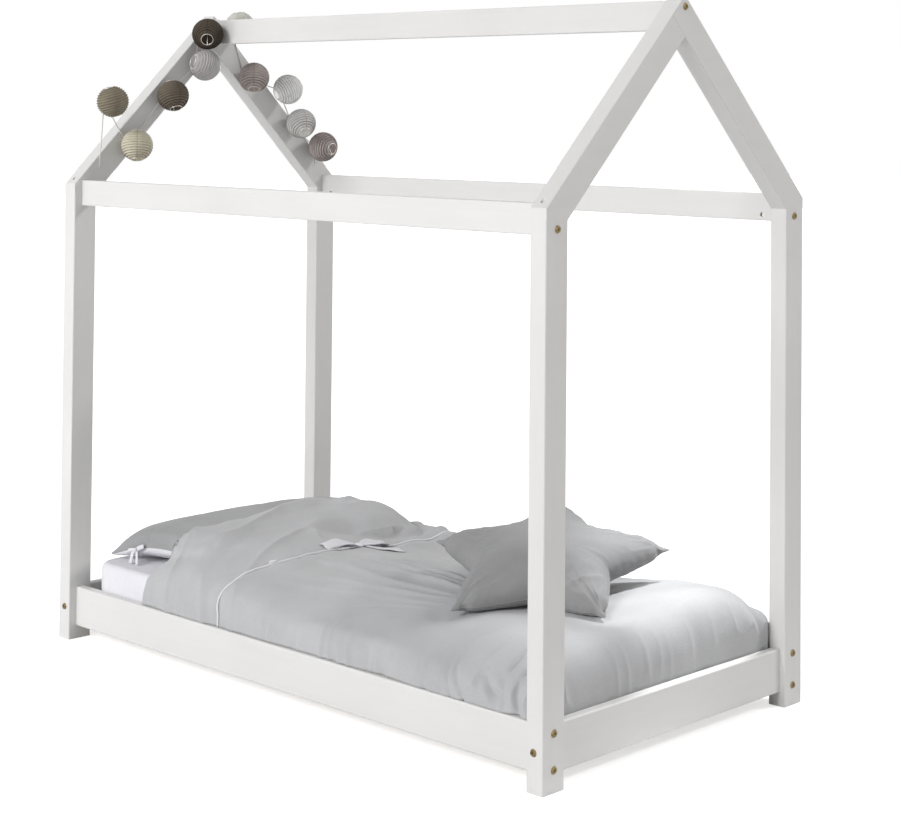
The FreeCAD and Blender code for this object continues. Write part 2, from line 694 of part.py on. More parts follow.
def rounded_block(label, length, width, height, corner, edge, both_faces=True):
    """A block with round corners and eased edges, from its lowest corner."""
    body = new_body(label)
    stock = pad(body, outline(body, "XY_Plane", [(0, 0), (length, 0), (length, width), (0, width)]),
                height)
    upright = round_edges(body, stock, corner, runs_along(Z_AXIS))

    def on_face(found):
        level = found.BoundBox
        flat = level.ZLength < 1e-6
        return flat and (both_faces or level.ZMax > height.value / 2)
    chamfer_edges(body, upright, edge, on_face)
    return body


SOFT_CLEARANCE = size("soft_clearance")
SHEET_WRAP = SOFT_CLEARANCE + size("sheet_thickness")
MATTRESS_FOOT = END_INNER - size("mattress_foot_gap") - SOFT_CLEARANCE - SHEET_WRAP
MATTRESS_HEAD = MATTRESS_FOOT - size("mattress_length")
MATTRESS_NEAR = -size("mattress_width") / 2
SHEET_DROP = 5

mattress = rounded_block("mattress", size("mattress_length"), size("mattress_width"),
                         size("mattress_height"), size("mattress_corner"), size("mattress_edge"))
place(mattress, MATTRESS_HEAD, MATTRESS_NEAR, MATTRESS_BOTTOM)


def wrap_block(label, margin, drop):
    """The mattress grown by a margin on its sides and top, reaching lower by drop."""
    block = rounded_block(label, size("mattress_length") + margin * 2, size("mattress_width") + margin * 2,
                          size("mattress_height") + margin + drop, size("mattress_corner") + margin,
                          size("mattress_edge") + margin, both_faces=False)
    place(block, MATTRESS_HEAD - margin, MATTRESS_NEAR - margin, MATTRESS_BOTTOM - drop)
    return block


fitted_sheet = doc.addObject("Part::Cut", "fitted_sheet")
fitted_sheet.Label = "fitted_sheet"
fitted_sheet.Base = wrap_block("sheet_outside", SHEET_WRAP, 0)
fitted_sheet.Tool = wrap_block("sheet_inside", SOFT_CLEARANCE, SHEET_DROP)
doc.recompute()


# ------------------------------------------------------------ pillow, duvet and star cushion

def soft_piece(label, shape, placement=None):
    piece = doc.addObject("Part::Feature", label)
    piece.Label = label
    piece.Shape = shape
    if placement is not None:
        piece.Placement = placement
    return piece


point = FreeCAD.Vector
ARC_STEPS = 6      # straight pieces that stand for one arc of a soft section


def arc(start, middle, end):
    """Corners along an arc, without its last one."""
    return Part.Arc(start, middle, end).toShape().discretize(ARC_STEPS + 1)[:-1]


def closed_line(corners):
    return Part.makePolygon(list(corners) + [corners[0]])


REST = SHEET_TOP.value + SIZES["soft_clearance"]

# The pillow: a crowned bag whose corners stand out and whose sides pull in between them.
# Each row gives a place along its length, the share of its height there, and the share of its
# width.
PILLOW_PROFILE = [
    (0.0, 0.12, 1.0), (0.06, 0.48, 0.97), (0.18, 0.80, 0.95), (0.38, 1.0, 0.935),
    (0.62, 1.0, 0.935), (0.82, 0.80, 0.95), (0.94, 0.48, 0.97), (1.0, 0.12, 1.0),
]
PILLOW_NEAR = -SIZES["mattress_width"] / 2 + SIZES["pillow_near_gap"]
PILLOW_MIDDLE = MATTRESS_HEAD.value + SIZES["pillow_head_gap"] + SIZES["pillow_width"] / 2


def pillow_section(share, height_share, width_share):
    y = PILLOW_NEAR + SIZES["pillow_length"] * share
    half = SIZES["pillow_width"] / 2 * width_share
    seam = REST + SIZES["pillow_seam"]
    rise = (SIZES["pillow_height"] - SIZES["pillow_seam"]) * height_share
    head_side = point(PILLOW_MIDDLE - half, y, seam)
    foot_side = point(PILLOW_MIDDLE + half, y, seam)
    crest = point(PILLOW_MIDDLE, y, seam + rise)
    belly = point(PILLOW_MIDDLE, y, seam - SIZES["pillow_seam"] * height_share)
    return closed_line(arc(head_side, crest, foot_side) + arc(foot_side, belly, head_side))


pillow = soft_piece("pillow", Part.makeLoft([pillow_section(*row) for row in PILLOW_PROFILE], True, True))

# The duvet: it starts on the pillow's crest, falls to the flat of the bed and fills the frame, its
# side hems standing on the side rails and its foot tucked down behind the mattress.  Each row gives
# a place, how far it is lifted over the pillow as a share of the pillow's height, and how much its
# crown and its near and far shoulders differ from the plain thickness.  Places are shares of the
# pillow's reach under the duvet, and then shares of what is left to the mattress's foot.
OVER_PILLOW = [
    (0, 0.99, -8, -2, 2), (0.2, 0.99, -6, 2, 4), (0.45, 0.90, -7, -2, 6), (0.89, 0.57, -4, 0, 4),
    (1.07, 0.42, -2, 3, 1), (1.36, 0.10, 0, -2, 3), (1.68, 0.01, -2, 3, -1),
]
OVER_FLAT = [
    (0.16, 0.01, 0, -3, 3), (0.33, 0.01, -4, 4, -3), (0.49, 0.01, 0, -3, 3),
    (0.65, 0.01, -4, 4, -3), (0.81, 0.01, 0, -2, 2), (0.95, 0.01, -5, -2, -4), (1, 0.01, -12, -7, -8),
]
DUVET_START = MATTRESS_HEAD.value + SIZES["duvet_head_margin"]
PILLOW_REACH = PILLOW_MIDDLE + SIZES["pillow_width"] / 2 - DUVET_START
FLAT_START = DUVET_START + PILLOW_REACH * OVER_PILLOW[-1][0]
FLAT_END = (MATTRESS_FOOT + SHEET_WRAP).value + SIZES["soft_clearance"]
HEM_FOOT = RAIL_TOP.value + SIZES["soft_clearance"]
HEM_INNER = SIZES["mattress_width"] / 2 + SHEET_WRAP.value + SIZES["soft_clearance"]
SHOULDER_SHARE = 0.68      # thickness at the shoulders, of the thickness at the crown
SHOULDER_LIFT = 0.62       # lift at the shoulders, of the lift at the crown
HIP_INSET = 12             # underside's hip, in from the shoulder
HIP_LIFT = 0.8             # the underside's lift at its hips, of that at its crown
PILLOW_LIFT = SIZES["pillow_height"] + SIZES["duvet_pillow_room"]
HEM_BULGE = 2
HEM_BULGE_SHARE = 0.36     # height of the fullest place of a hem
FOOT_STEP = 0.3            # the underside falls behind the mattress within this length
FOOT_UNDER = HEM_FOOT + 1  # underside of the part behind the mattress
POSTS_START = (HALF_LENGTH - POST_DEPTH).value
RAIL_START = END_INNER.value - SIZES["soft_clearance"]
POSTS_HALF = (HALF_WIDTH - POST_WIDTH).value - HEM_BULGE * 2 - SIZES["duvet_hem_width"]
FOOT_LIFT = 0.5            # rise of the underside's middle there
# behind the mattress: place, inner half width, and how far the top has come down
FOOT_ROWS = [
    (FLAT_END + FOOT_STEP, HEM_INNER, 1), (POSTS_START - FOOT_STEP, HEM_INNER, 23),
    (POSTS_START - FOOT_STEP / 3, POSTS_HALF, 23), (RAIL_START, POSTS_HALF, 47),
]


def duvet_row(start, length, share, lift_share, crown, near, far):
    """One row: place, inner half width, underside, lift, crown, near and far shoulder heights."""
    lift = PILLOW_LIFT * lift_share
    shoulder = REST + SIZES["duvet_thickness"] * SHOULDER_SHARE + lift * SHOULDER_LIFT
    return (start + length * share, HEM_INNER, REST, lift, REST + SIZES["duvet_thickness"] + lift + crown,
            shoulder + near, shoulder + far)


duvet_rows = [duvet_row(DUVET_START, PILLOW_REACH, *row) for row in OVER_PILLOW]
duvet_rows += [duvet_row(FLAT_START, FLAT_END - FLAT_START, *row) for row in OVER_FLAT]
DUVET_FOOT = duvet_rows[-1][4:]
for x, half, dip in FOOT_ROWS:
    duvet_rows.append((x, half, FOOT_UNDER, FOOT_LIFT) + tuple(height - dip for height in DUVET_FOOT))


def duvet_section(row):
    x, inner, under, lift, top, near, far = row
    outer = inner + SIZES["duvet_hem_width"]
    shoulder = inner - SIZES["duvet_thickness"]
    hip = shoulder - HIP_INSET
    near_hip = point(x, -hip, under + lift * HIP_LIFT)
    far_hip = point(x, hip, under + lift * HIP_LIFT)
    near_hem = point(x, -outer, HEM_FOOT)
    far_hem = point(x, outer, HEM_FOOT)
    near_shoulder = point(x, -shoulder, near)
    far_shoulder = point(x, shoulder, far)
    near_full = point(x, -outer - HEM_BULGE, HEM_FOOT + (near - HEM_FOOT) * HEM_BULGE_SHARE)
    far_full = point(x, outer + HEM_BULGE, HEM_FOOT + (far - HEM_FOOT) * HEM_BULGE_SHARE)
    return closed_line(
        [near_hem, point(x, -inner, HEM_FOOT), point(x, -inner, under)]
        + arc(near_hip, point(x, 0, under + lift), far_hip)
        + [far_hip, point(x, inner, under), point(x, inner, HEM_FOOT)]
        + arc(far_hem, far_full, far_shoulder)
        + arc(far_shoulder, point(x, 0, top), near_shoulder)
        + arc(near_shoulder, near_full, near_hem))


duvet = soft_piece("duvet", Part.makeLoft([duvet_section(row) for row in duvet_rows], True, True))


def duvet_top(x, y):
    """Height of the duvet's top over a point of the bed."""
    for before, after in zip(duvet_rows, duvet_rows[1:]):
        if before[0] <= x <= after[0]:
            break
    share = (x - before[0]) / (after[0] - before[0])
    top, near, far = [before[part] + (after[part] - before[part]) * share for part in (4, 5, 6)]
    side = far if y > 0 else near
    return side + (top - side) * (1 - (y / (HEM_INNER - SIZES["duvet_thickness"])) ** 2)


# The star cushion: star outlines stacked through its thickness, widest at the seam.  Each row gives
# the share of the half thickness above the seam and the share of the full outline there.
STAR_LAYERS = [
    (1.0, 0.20), (0.975, 0.36), (0.91, 0.52), (0.80, 0.66), (0.65, 0.79), (0.46, 0.89), (0.24, 0.96),
    (0.0, 1.0),
]
STAR_ARMS = 5
STAR_STEP = math.radians(360 / STAR_ARMS)
STAR_TOP_ANGLE = math.radians(90)
STAR_TIP_SHARE = 0.93
STAR_X = 359
STAR_Y = 42
STAR_TURN = 32.5
STAR_TILT = 16.3


def star_outline(level, share):
    """The corners of one star-shaped layer with blunt tips."""
    height = SIZES["star_half_thickness"] * level
    reach = SIZES["star_radius"] * share
    notch = SIZES["star_notch_radius"] * share
    tip_half = SIZES["star_tip_half_width"] * share
    corners = []
    for arm in range(STAR_ARMS):
        angle = STAR_TOP_ANGLE + STAR_STEP * arm
        out = point(math.cos(angle), math.sin(angle), 0)
        across = point(-math.sin(angle), math.cos(angle), 0) * tip_half
        shoulder = out * (reach * STAR_TIP_SHARE)
        dip = angle + STAR_STEP / 2
        corners.append(shoulder - across + point(0, 0, height))
        corners.append(out * reach + point(0, 0, height))
        corners.append(shoulder + across + point(0, 0, height))
        corners.append(point(math.cos(dip) * notch, math.sin(dip) * notch, height))
    return corners


star_turn = FreeCAD.Rotation(point(0, 0, 1), STAR_TURN).multiply(
    FreeCAD.Rotation(point(1, 0, 0), STAR_TILT))
star_layers = [(-level, share) for level, share in STAR_LAYERS] + STAR_LAYERS[-2::-1]
star_outlines = [star_outline(*row) for row in star_layers]
star_seat = max(
    duvet_top(STAR_X + turned.x, STAR_Y + turned.y) - turned.z
    for corners in star_outlines for turned in [star_turn.multVec(corner) for corner in corners])


def flat_face(corners):
    return Part.Face(closed_line(corners))


def stacked(rings):
    """A solid of flat faces through level rings of corners."""
    faces = [flat_face(rings[0]), flat_face(rings[-1])]
    for below, above in zip(rings, rings[1:]):
        for number in range(len(below)):
            after = (number + 1) % len(below)
            faces.append(flat_face([below[number], below[after], above[after], above[number]]))
    return Part.makeSolid(Part.makeShell(faces))


star_cushion = soft_piece(
    "star_cushion", stacked(star_outlines),
    FreeCAD.Placement(point(STAR_X, STAR_Y, star_seat + SIZES["soft_clearance"]), star_turn))

bedding = [mattress, fitted_sheet, pillow, duvet, star_cushion]


# ------------------------------------------------------------ paper lanterns

# Each lantern hangs before the inner face of the head gable.  Its place is a distance from the
# gable's middle and a height above the rafters' upper line there.
LANTERN_PLACES = [
    (-320, 112), (-251, -60), (-149, -46), (-55, -67), (-48.5, 2), (50, 25), (96, -52), (205, 31),
    (249, -10), (323, 6),
]
LANTERN_SIDES = 12
LANTERN_LATITUDES = (-76, -52, -26, 0, 26, 52, 76)
GABLE_FACE = (POST_DEPTH - HALF_LENGTH).value + SIZES["soft_clearance"]
LANTERN_LINE = GABLE_FACE + SIZES["wire_thickness"] + SIZES["soft_clearance"] + SIZES["lantern_radius"]
WIRE_END_ROOM = 7         # from the wire's end to the post's inner side
WIRE_END = (HALF_WIDTH - POST_WIDTH).value - WIRE_END_ROOM
WIRE_END_DROP = 30
RIDGE_PASS = SIZES["rail_thickness"] / 2 + 3
RIDGE_PASS_HEIGHT = RIDGE_TOP.value + SIZES["wire_thickness"]


def gable_line(y):
    """Height of the rafters' upper line at a distance from the gable's middle."""
    return (POST_HEIGHT + APEX_RISE).value - abs(y) * SLOPE.value


def ball_ring(latitude):
    """Corners of one level ring of a ball, the first of them on -X."""
    angle = math.radians(latitude)
    radius = SIZES["lantern_radius"] * math.cos(angle)
    turns = [math.pi + 2 * math.pi * side / LANTERN_SIDES for side in range(LANTERN_SIDES)]
    return [point(radius * math.cos(turn), radius * math.sin(turn), SIZES["lantern_radius"] * math.sin(angle))
            for turn in turns]


lantern_ball = stacked([ball_ring(latitude) for latitude in LANTERN_LATITUDES])
lantern_balls = []
for number, (y, rise) in enumerate(LANTERN_PLACES, 1):
    ball_place = FreeCAD.Placement(point(LANTERN_LINE, y, gable_line(y) + rise), FreeCAD.Rotation())
    lantern_balls.append(soft_piece("lantern_%d" % number, lantern_ball.copy(), ball_place))
lanterns = group("lanterns", lantern_balls)


def wire_run():
    """The wire's middle line as (y, z) points: from rafter to rafter behind each lantern."""
    middle = [(y, gable_line(y) + rise) for y, rise in LANTERN_PLACES]
    ridge_pass = [(-RIDGE_PASS, RIDGE_PASS_HEIGHT), (RIDGE_PASS, RIDGE_PASS_HEIGHT)]
    near_side = [spot for spot in middle if spot[0] < 0]
    far_side = [spot for spot in middle if spot[0] > 0]
    ends = [(side, gable_line(side) - WIRE_END_DROP) for side in (-WIRE_END, WIRE_END)]
    return [ends[0]] + near_side + ridge_pass + far_side + [ends[1]]


def beside(run, distance):
    """The run moved sideways by a distance, with mitred corners."""
    spots = [point(GABLE_FACE, y, z) for y, z in run]
    sides = []
    for start, end in zip(spots, spots[1:]):
        way = (end - start).normalize()
        sides.append(point(0, -way.z, way.y))
    moved = [spots[0] + sides[0] * distance]
    for spot, before, after in zip(spots[1:-1], sides, sides[1:]):
        corner = (before + after).normalize()
        moved.append(spot + corner * (distance / corner.dot(after)))
    return moved + [spots[-1] + sides[-1] * distance]


half_wire = SIZES["wire_thickness"] / 2
wire_outline = beside(wire_run(), half_wire) + beside(wire_run(), -half_wire)[::-1]
wire_depth = point(SIZES["wire_thickness"], 0, 0)
garland_wire = soft_piece("garland_wire", flat_face(wire_outline).extrude(wire_depth))
garland = [lanterns, garland_wire]


# ------------------------------------------------------------ files

nodes = posts + rafters + rails + fasteners + base + bedding + garland

doc.recompute()
for item in doc.Objects:
    if {"Invalid", "Error"} & set(item.State):
        raise RuntimeError("%s did not build: %s" % (item.Name, item.State))
for node in nodes:
    if node.Shape.isNull() or not node.Shape.isValid():
        raise RuntimeError(node.Label + " has no valid shape")

os.makedirs("parts", exist_ok=True)
for node in nodes:
    node.Shape.exportStep("parts/%s.step" % node.Label)
    print("%-24s solids %2d  volume %10.0f" % (node.Label, len(node.Shape.Solids), node.Shape.Volume))
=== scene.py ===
import math

import bpy
import numpy as np
from mathutils import Matrix, Vector


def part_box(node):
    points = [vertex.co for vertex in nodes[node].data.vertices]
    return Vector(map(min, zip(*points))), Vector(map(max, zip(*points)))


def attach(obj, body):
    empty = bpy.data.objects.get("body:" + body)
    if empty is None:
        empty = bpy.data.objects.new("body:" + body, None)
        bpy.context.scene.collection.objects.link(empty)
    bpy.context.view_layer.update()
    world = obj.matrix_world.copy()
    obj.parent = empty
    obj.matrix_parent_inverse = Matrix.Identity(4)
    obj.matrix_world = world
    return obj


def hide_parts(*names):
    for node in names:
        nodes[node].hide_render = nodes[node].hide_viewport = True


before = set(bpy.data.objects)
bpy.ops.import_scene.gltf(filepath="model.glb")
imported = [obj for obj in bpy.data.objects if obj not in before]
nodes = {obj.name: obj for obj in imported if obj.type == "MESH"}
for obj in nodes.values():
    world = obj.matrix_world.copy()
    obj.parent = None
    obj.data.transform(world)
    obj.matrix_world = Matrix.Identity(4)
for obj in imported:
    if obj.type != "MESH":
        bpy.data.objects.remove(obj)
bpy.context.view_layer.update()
scene = bpy.context.scene

# ------------------------------------------------------------ camera, as the photograph was taken

PHOTO_WIDTH = 901
PHOTO_HEIGHT = 821
FOCAL_PIXELS = 1944.365
CENTRE_X = 524.984
CENTRE_Y = 61.190
CAMERA_PLACE = Vector((3.099696, -2.960574, 1.208673))
CAMERA_TURN = Vector((1.46102, 0.58341, -0.58799))
SENSOR_WIDTH = 36
CLIP_END = 60


def make_camera():
    right, down, ahead = Matrix.Rotation(CAMERA_TURN.length, 3, CAMERA_TURN.normalized())
    data = bpy.data.cameras.new("photo_camera")
    data.sensor_width = SENSOR_WIDTH
    data.lens = FOCAL_PIXELS / PHOTO_WIDTH * SENSOR_WIDTH
    data.shift_x = (PHOTO_WIDTH / 2 - CENTRE_X) / PHOTO_WIDTH
    data.shift_y = (CENTRE_Y - PHOTO_HEIGHT / 2) / PHOTO_WIDTH
    data.clip_end = CLIP_END
    camera = bpy.data.objects.new("photo_camera", data)
    scene.collection.objects.link(camera)
    turn = Matrix((right, -down, -ahead)).transposed().to_4x4()
    camera.matrix_world = Matrix.Translation(CAMERA_PLACE) @ turn
    scene.camera = camera


make_camera()


# ------------------------------------------------------------ node material tools

def feed(tree, node, inputs):
    """Plain values or other nodes' outputs into a node's inputs, by name or by number."""
    for key, value in inputs.items():
        socket = node.inputs[key]
        if isinstance(value, bpy.types.NodeSocket):
            tree.links.new(value, socket)
        elif socket.type == "RGBA":
            socket.default_value = (*value, 1)
        else:
            socket.default_value = value


def add_node(tree, kind, inputs=None, **settings):
    node = tree.nodes.new(kind)
    for key, value in settings.items():
        setattr(node, key, value)
    feed(tree, node, inputs or {})
    return node


class Shader:
    """A material's node tree with short ways to add to it."""

    def __init__(self, name, roughness, specular=0.5):
        self.material = bpy.data.materials.new(name)
        self.material.use_nodes = True
        self.tree = self.material.node_tree
        self.surface = self.tree.nodes["Principled BSDF"]
        self.height = None
        self.place = self.node("ShaderNodeTexCoord").outputs["Object"]
        self.set({"Roughness": roughness, "Specular IOR Level": specular})

    def set(self, inputs):
        feed(self.tree, self.surface, inputs)

    def node(self, kind, inputs=None, **settings):
        return add_node(self.tree, kind, inputs, **settings)

    def stretched(self, scale):
        mapping = self.node("ShaderNodeMapping", {"Scale": scale, "Vector": self.place})
        return mapping.outputs["Vector"]

    def noise(self, scale, detail=3.0, stretch=(1, 1, 1), rough=0.5, warp=0.0):
        inputs = {"Scale": scale, "Detail": detail, "Roughness": rough, "Distortion": warp,
                  "Vector": self.stretched(stretch)}
        return self.node("ShaderNodeTexNoise", inputs).outputs["Fac"]

    def threads(self, direction, scale=330.0):
        inputs = {"Scale": scale, "Distortion": 1.2, "Detail": 1.0, "Detail Scale": 2.0,
                  "Vector": self.stretched((1, 1, 1))}
        return self.node("ShaderNodeTexWave", inputs, bands_direction=direction).outputs["Fac"]

    def ramp(self, source, low, high, dark, light):
        ramp = self.node("ShaderNodeValToRGB", {"Fac": source})
        first, last = ramp.color_ramp.elements
        first.position = low
        last.position = high
        first.color = (*dark, 1)
        last.color = (*light, 1)
        return ramp.outputs["Color"]

    def math(self, operation, first, second=0.0):
        node = self.node("ShaderNodeMath", {0: first, 1: second}, operation=operation)
        return node.outputs["Value"]

    def vectors(self, operation, first, second):
        node = self.node("ShaderNodeVectorMath", {0: first, 1: second}, operation=operation)
        return node.outputs["Value" if operation == "DOT_PRODUCT" else "Vector"]

    def mix(self, blend, amount, first, second):
        inputs = {"Factor": amount, 6: first, 7: second}
        return self.node("ShaderNodeMix", inputs, data_type="RGBA", blend_type=blend).outputs[2]

    def bump(self, source, distance, strength):
        inputs = {"Distance": distance, "Strength": strength, "Height": source}
        if self.height is not None:
            inputs["Normal"] = self.height
        self.height = self.node("ShaderNodeBump", inputs).outputs["Normal"]
        self.set({"Normal": self.height})

    def colour(self, source):
        self.set({"Base Color": source})

    def roughness(self, source, low, high):
        spread = self.node("ShaderNodeMapRange", {"Value": source, "To Min": low, "To Max": high})
        self.set({"Roughness": spread.outputs["Result"]})


# ------------------------------------------------------------ materials

WHITE = (1, 1, 1)
GRAIN_STRETCH = 14.0        # how much longer the lacquered timber's figure is than it is wide
LACQUER_TONES = ((0.69, 0.683, 0.672), (0.71, 0.705, 0.696))
LACQUER_CLOUDS = ((0.955, 0.953, 0.95), (1.0, 1.0, 1.0))
WORN_TONE = (0.70, 0.65, 0.56)
WORN_RADIUS = 0.0022        # how far from an edge the lacquer is worn
WORN_SHARE = 0.9
FIBRE_TONE = (0.86, 0.84, 0.80)
SLUB_TONE = (0.93, 0.93, 0.93)
PINE_TONES = ((0.60, 0.42, 0.24), (0.78, 0.61, 0.40))


def along(axis, length):
    """Stretch of a texture for timber that runs along an axis."""
    return tuple(1.0 if part == axis else length for part in range(3))


def lacquered_wood(name, axis):
    """White satin lacquer through which the planed grain shows faintly, a little worn at its edges."""
    shader = Shader(name, roughness=0.36)
    grain = shader.noise(4.0, 6.0, along(axis, GRAIN_STRETCH), rough=0.6, warp=0.6)
    cloud = shader.noise(3.0, 2.0)
    tone = shader.ramp(grain, 0.3, 0.75, *LACQUER_TONES)
    soft = shader.ramp(cloud, 0.3, 0.7, *LACQUER_CLOUDS)
    edge = shader.node("ShaderNodeBevel", {"Radius": WORN_RADIUS}, samples=4)
    shape = shader.node("ShaderNodeNewGeometry")
    turn = shader.vectors("DOT_PRODUCT", edge.outputs["Normal"], shape.outputs["Normal"])
    worn = shader.math("SUBTRACT", 1.0, turn)
    scuff = shader.math("MULTIPLY", worn, shader.noise(60.0, 4.0))
    base = shader.mix("MULTIPLY", 1.0, tone, soft)
    shader.colour(shader.mix("MIX", shader.math("MULTIPLY", scuff, WORN_SHARE), base, WORN_TONE))
    shader.roughness(cloud, 0.30, 0.42)
    shader.bump(grain, distance=0.0004, strength=0.16)
    shader.bump(shader.noise(420.0, 2.0), distance=0.00012, strength=0.5)
    return shader.material


def bare_wood(name, axis, dark, light, figure=5.0):
    """Planed softwood without a finish, with growth rings that run along it."""
    shader = Shader(name, roughness=0.62, specular=0.35)
    rings = shader.noise(figure, 5.0, along(axis, 10.0), rough=0.55, warp=1.6)
    fibre = shader.noise(30.0, 4.0, along(axis, 18.0))
    tone = shader.ramp(rings, 0.32, 0.68, dark, light)
    fine = shader.ramp(fibre, 0.3, 0.8, FIBRE_TONE, WHITE)
    shader.colour(shader.mix("MULTIPLY", 0.8, tone, fine))
    shader.roughness(fibre, 0.52, 0.70)
    shader.bump(fibre, distance=0.0004, strength=0.5)
    return shader.material


def plated_metal(name, dark, light, roughness):
    shader = Shader(name, roughness)
    shader.set({"Metallic": 1.0})
    shader.colour(shader.ramp(shader.noise(180.0), 0.3, 0.75, dark, light))
    shader.roughness(shader.noise(700.0, 2.0), roughness - 0.08, roughness + 0.12)
    shader.bump(shader.noise(1500.0, 2.0), distance=0.00004, strength=0.4)
    return shader.material


def woven_cloth(name, dark, light, weave=0.00022, slub=0.00030):
    """Washed plain-weave cotton: crossed threads, slubs, faint clouds of tone and a soft sheen."""
    shader = Shader(name, roughness=0.86, specular=0.25)
    shader.set({"Sheen Weight": 0.25, "Sheen Roughness": 0.45})
    flat = shader.math("MULTIPLY", shader.threads("X"), shader.threads("Y"))
    upright = shader.math("MULTIPLY", shader.threads("Z"), 0.5)
    cloth = shader.math("ADD", flat, upright)
    slubs = shader.math("ADD", shader.noise(90.0, stretch=(1, 9, 4)), shader.noise(90.0, stretch=(9, 1, 4)))
    tone = shader.ramp(shader.noise(7.0, 4.0), 0.3, 0.72, dark, light)
    fine = shader.ramp(slubs, 0.75, 1.25, SLUB_TONE, WHITE)
    shader.colour(shader.mix("MULTIPLY", 0.9, tone, fine))
    shader.bump(cloth, weave, strength=0.6)
    shader.bump(slubs, slub, strength=0.5)
    shader.bump(shader.noise(38.0, 4.0, warp=0.5), distance=0.0016, strength=0.22)
    return shader.material


WHITE_X, WHITE_Y, WHITE_Z = (lacquered_wood("white_timber_" + name, axis) for axis, name in enumerate("xyz"))
SLAT_WOOD = bare_wood("slat_pine", 1, *PINE_TONES)
LEDGE_WOOD = bare_wood("ledge_pine", 0, *PINE_TONES)
DOWEL_WOOD = bare_wood("dowel_beech", 0, (0.58, 0.38, 0.22), (0.70, 0.50, 0.32), figure=40.0)
BOLT_METAL = plated_metal("bolt_yellow_zinc", (0.20, 0.145, 0.07), (0.40, 0.31, 0.16), 0.30)
NUT_METAL = plated_metal("nut_zinc", (0.42, 0.40, 0.34), (0.66, 0.63, 0.54), 0.34)
WIRE_METAL = plated_metal("lantern_wire", (0.62, 0.60, 0.56), (0.80, 0.78, 0.74), 0.35)
WEBBING = woven_cloth("tape_webbing", (0.70, 0.69, 0.66), (0.80, 0.79, 0.76), weave=0.0004)
MATTRESS_CLOTH = woven_cloth("mattress_ticking", (0.74, 0.73, 0.70), (0.82, 0.81, 0.78))
SHEET_CLOTH = woven_cloth("white_sheet", (0.70, 0.695, 0.73), (0.76, 0.755, 0.79), slub=0.0001)
DUVET_CLOTH = woven_cloth("grey_duvet", (0.428, 0.430, 0.437), (0.498, 0.501, 0.509))
STAR_CLOTH = woven_cloth("grey_star", (0.248, 0.248, 0.251), (0.300, 0.300, 0.303))
# the pillow's grey cloth, darkened further than its own colour as painted shade
PILLOW_CLOTH_AND_SHADE = woven_cloth("grey_pillow_and_shade", (0.29, 0.291, 0.294), (0.35, 0.351, 0.354))
FLEX = woven_cloth("garland_flex", (0.74, 0.72, 0.68), (0.82, 0.80, 0.76))

BY_NAME_END = {"bolts": BOLT_METAL, "nuts": NUT_METAL, "screws": NUT_METAL, "dowels": DOWEL_WOOD}
BY_NAME_START = {
    "post_": WHITE_Z, "rafter_": WHITE_Y, "side_rail": WHITE_X, "end_rail": WHITE_Y, "eaves_rail": WHITE_X,
    "ridge_beam": WHITE_X, "slat_ledge": LEDGE_WOOD, "slat_tape": WEBBING, "slat_": SLAT_WOOD,
    "garland_wire": FLEX,
}


def dress_frame():
    """Give the frame's nodes their materials, by the end of a name or else by its start."""
    for name, thing in nodes.items():
        found = [material for word, material in BY_NAME_END.items() if name.endswith(word)]
        found += [material for word, material in BY_NAME_START.items() if name.startswith(word)]
        if found:
            thing.data.materials.clear()
            thing.data.materials.append(found[0])


dress_frame()


# ------------------------------------------------------------ mesh tools

HASH_PRIMES = (73856093, 19349663, 83492791)
HASH_SEED = 2654435761
HASH_MIX = 1274126177
HASH_LIMIT = 2 ** 32
HASH_HALF = 32767.5


def value_noise(points, seed):
    """Smooth noise in -1..1 over an array of points of any dimension up to 3."""
    points = np.asarray(points, float)
    cell = np.floor(points).astype(np.int64)
    part = points - cell
    part = part * part * (3 - 2 * part)
    total = np.zeros(points.shape[:-1])
    dims = points.shape[-1]
    for corner in range(2 ** dims):
        key = np.full(points.shape[:-1], seed * HASH_SEED % HASH_LIMIT, np.int64)
        weight = np.ones(points.shape[:-1])
        for axis in range(dims):
            step = corner >> axis & 1
            key = key ^ ((cell[..., axis] + step) * HASH_PRIMES[axis])
            weight = weight * (part[..., axis] if step else 1 - part[..., axis])
        key = (key ^ (key >> 13)) * HASH_MIX & 0xFFFFFFFF
        key = (key ^ (key >> 16)) & 0xFFFF
        total += weight * (key / HASH_HALF - 1)
    return total


def at(*places):
    """Points from arrays that each give one of their measures."""
    return np.stack(places, -1)


def ripple(seed, *places):
    """Smooth noise in -1..1 over arrays that each give one measure of place."""
    return value_noise(at(*places), seed)


def ridges(seed, *places):
    """Noise with sharp crests, from 0 to 1 at a crest."""
    return 1 - np.abs(ripple(seed, *places))


def layered(points, seed, layers=3):
    """Noise in about -1..1 with finer noise added to it."""
    points = np.asarray(points)
    total = np.zeros(points.shape[:-1])
    for layer in range(layers):
        total += value_noise(points * 2 ** layer, seed + layer) / 2 ** layer
    return total / 1.6


def smooth_step(value, low, high):
    """From 0 at low to 1 at high, with soft ends."""
    share = np.clip((value - low) / (high - low), 0, 1)
    return share * share * (3 - 2 * share)


def fade(value, low, high):
    """From 1 at low to 0 at high, with soft ends."""
    return smooth_step(-value, -high, -low)


def hump(distance, width):
    """A bell of height 1, that falls away over a width."""
    return np.exp(-(distance / width) ** 2)


def add_mesh(name, points, faces, material):
    mesh = bpy.data.meshes.new(name)
    points = [tuple(map(float, point)) for point in points]
    mesh.from_pydata(points, [], [tuple(map(int, face)) for face in faces])
    mesh.validate()
    mesh.update()
    for face in mesh.polygons:
        face.use_smooth = True
    piece = bpy.data.objects.new(name, mesh)
    scene.collection.objects.link(piece)
    mesh.materials.append(material)
    return piece


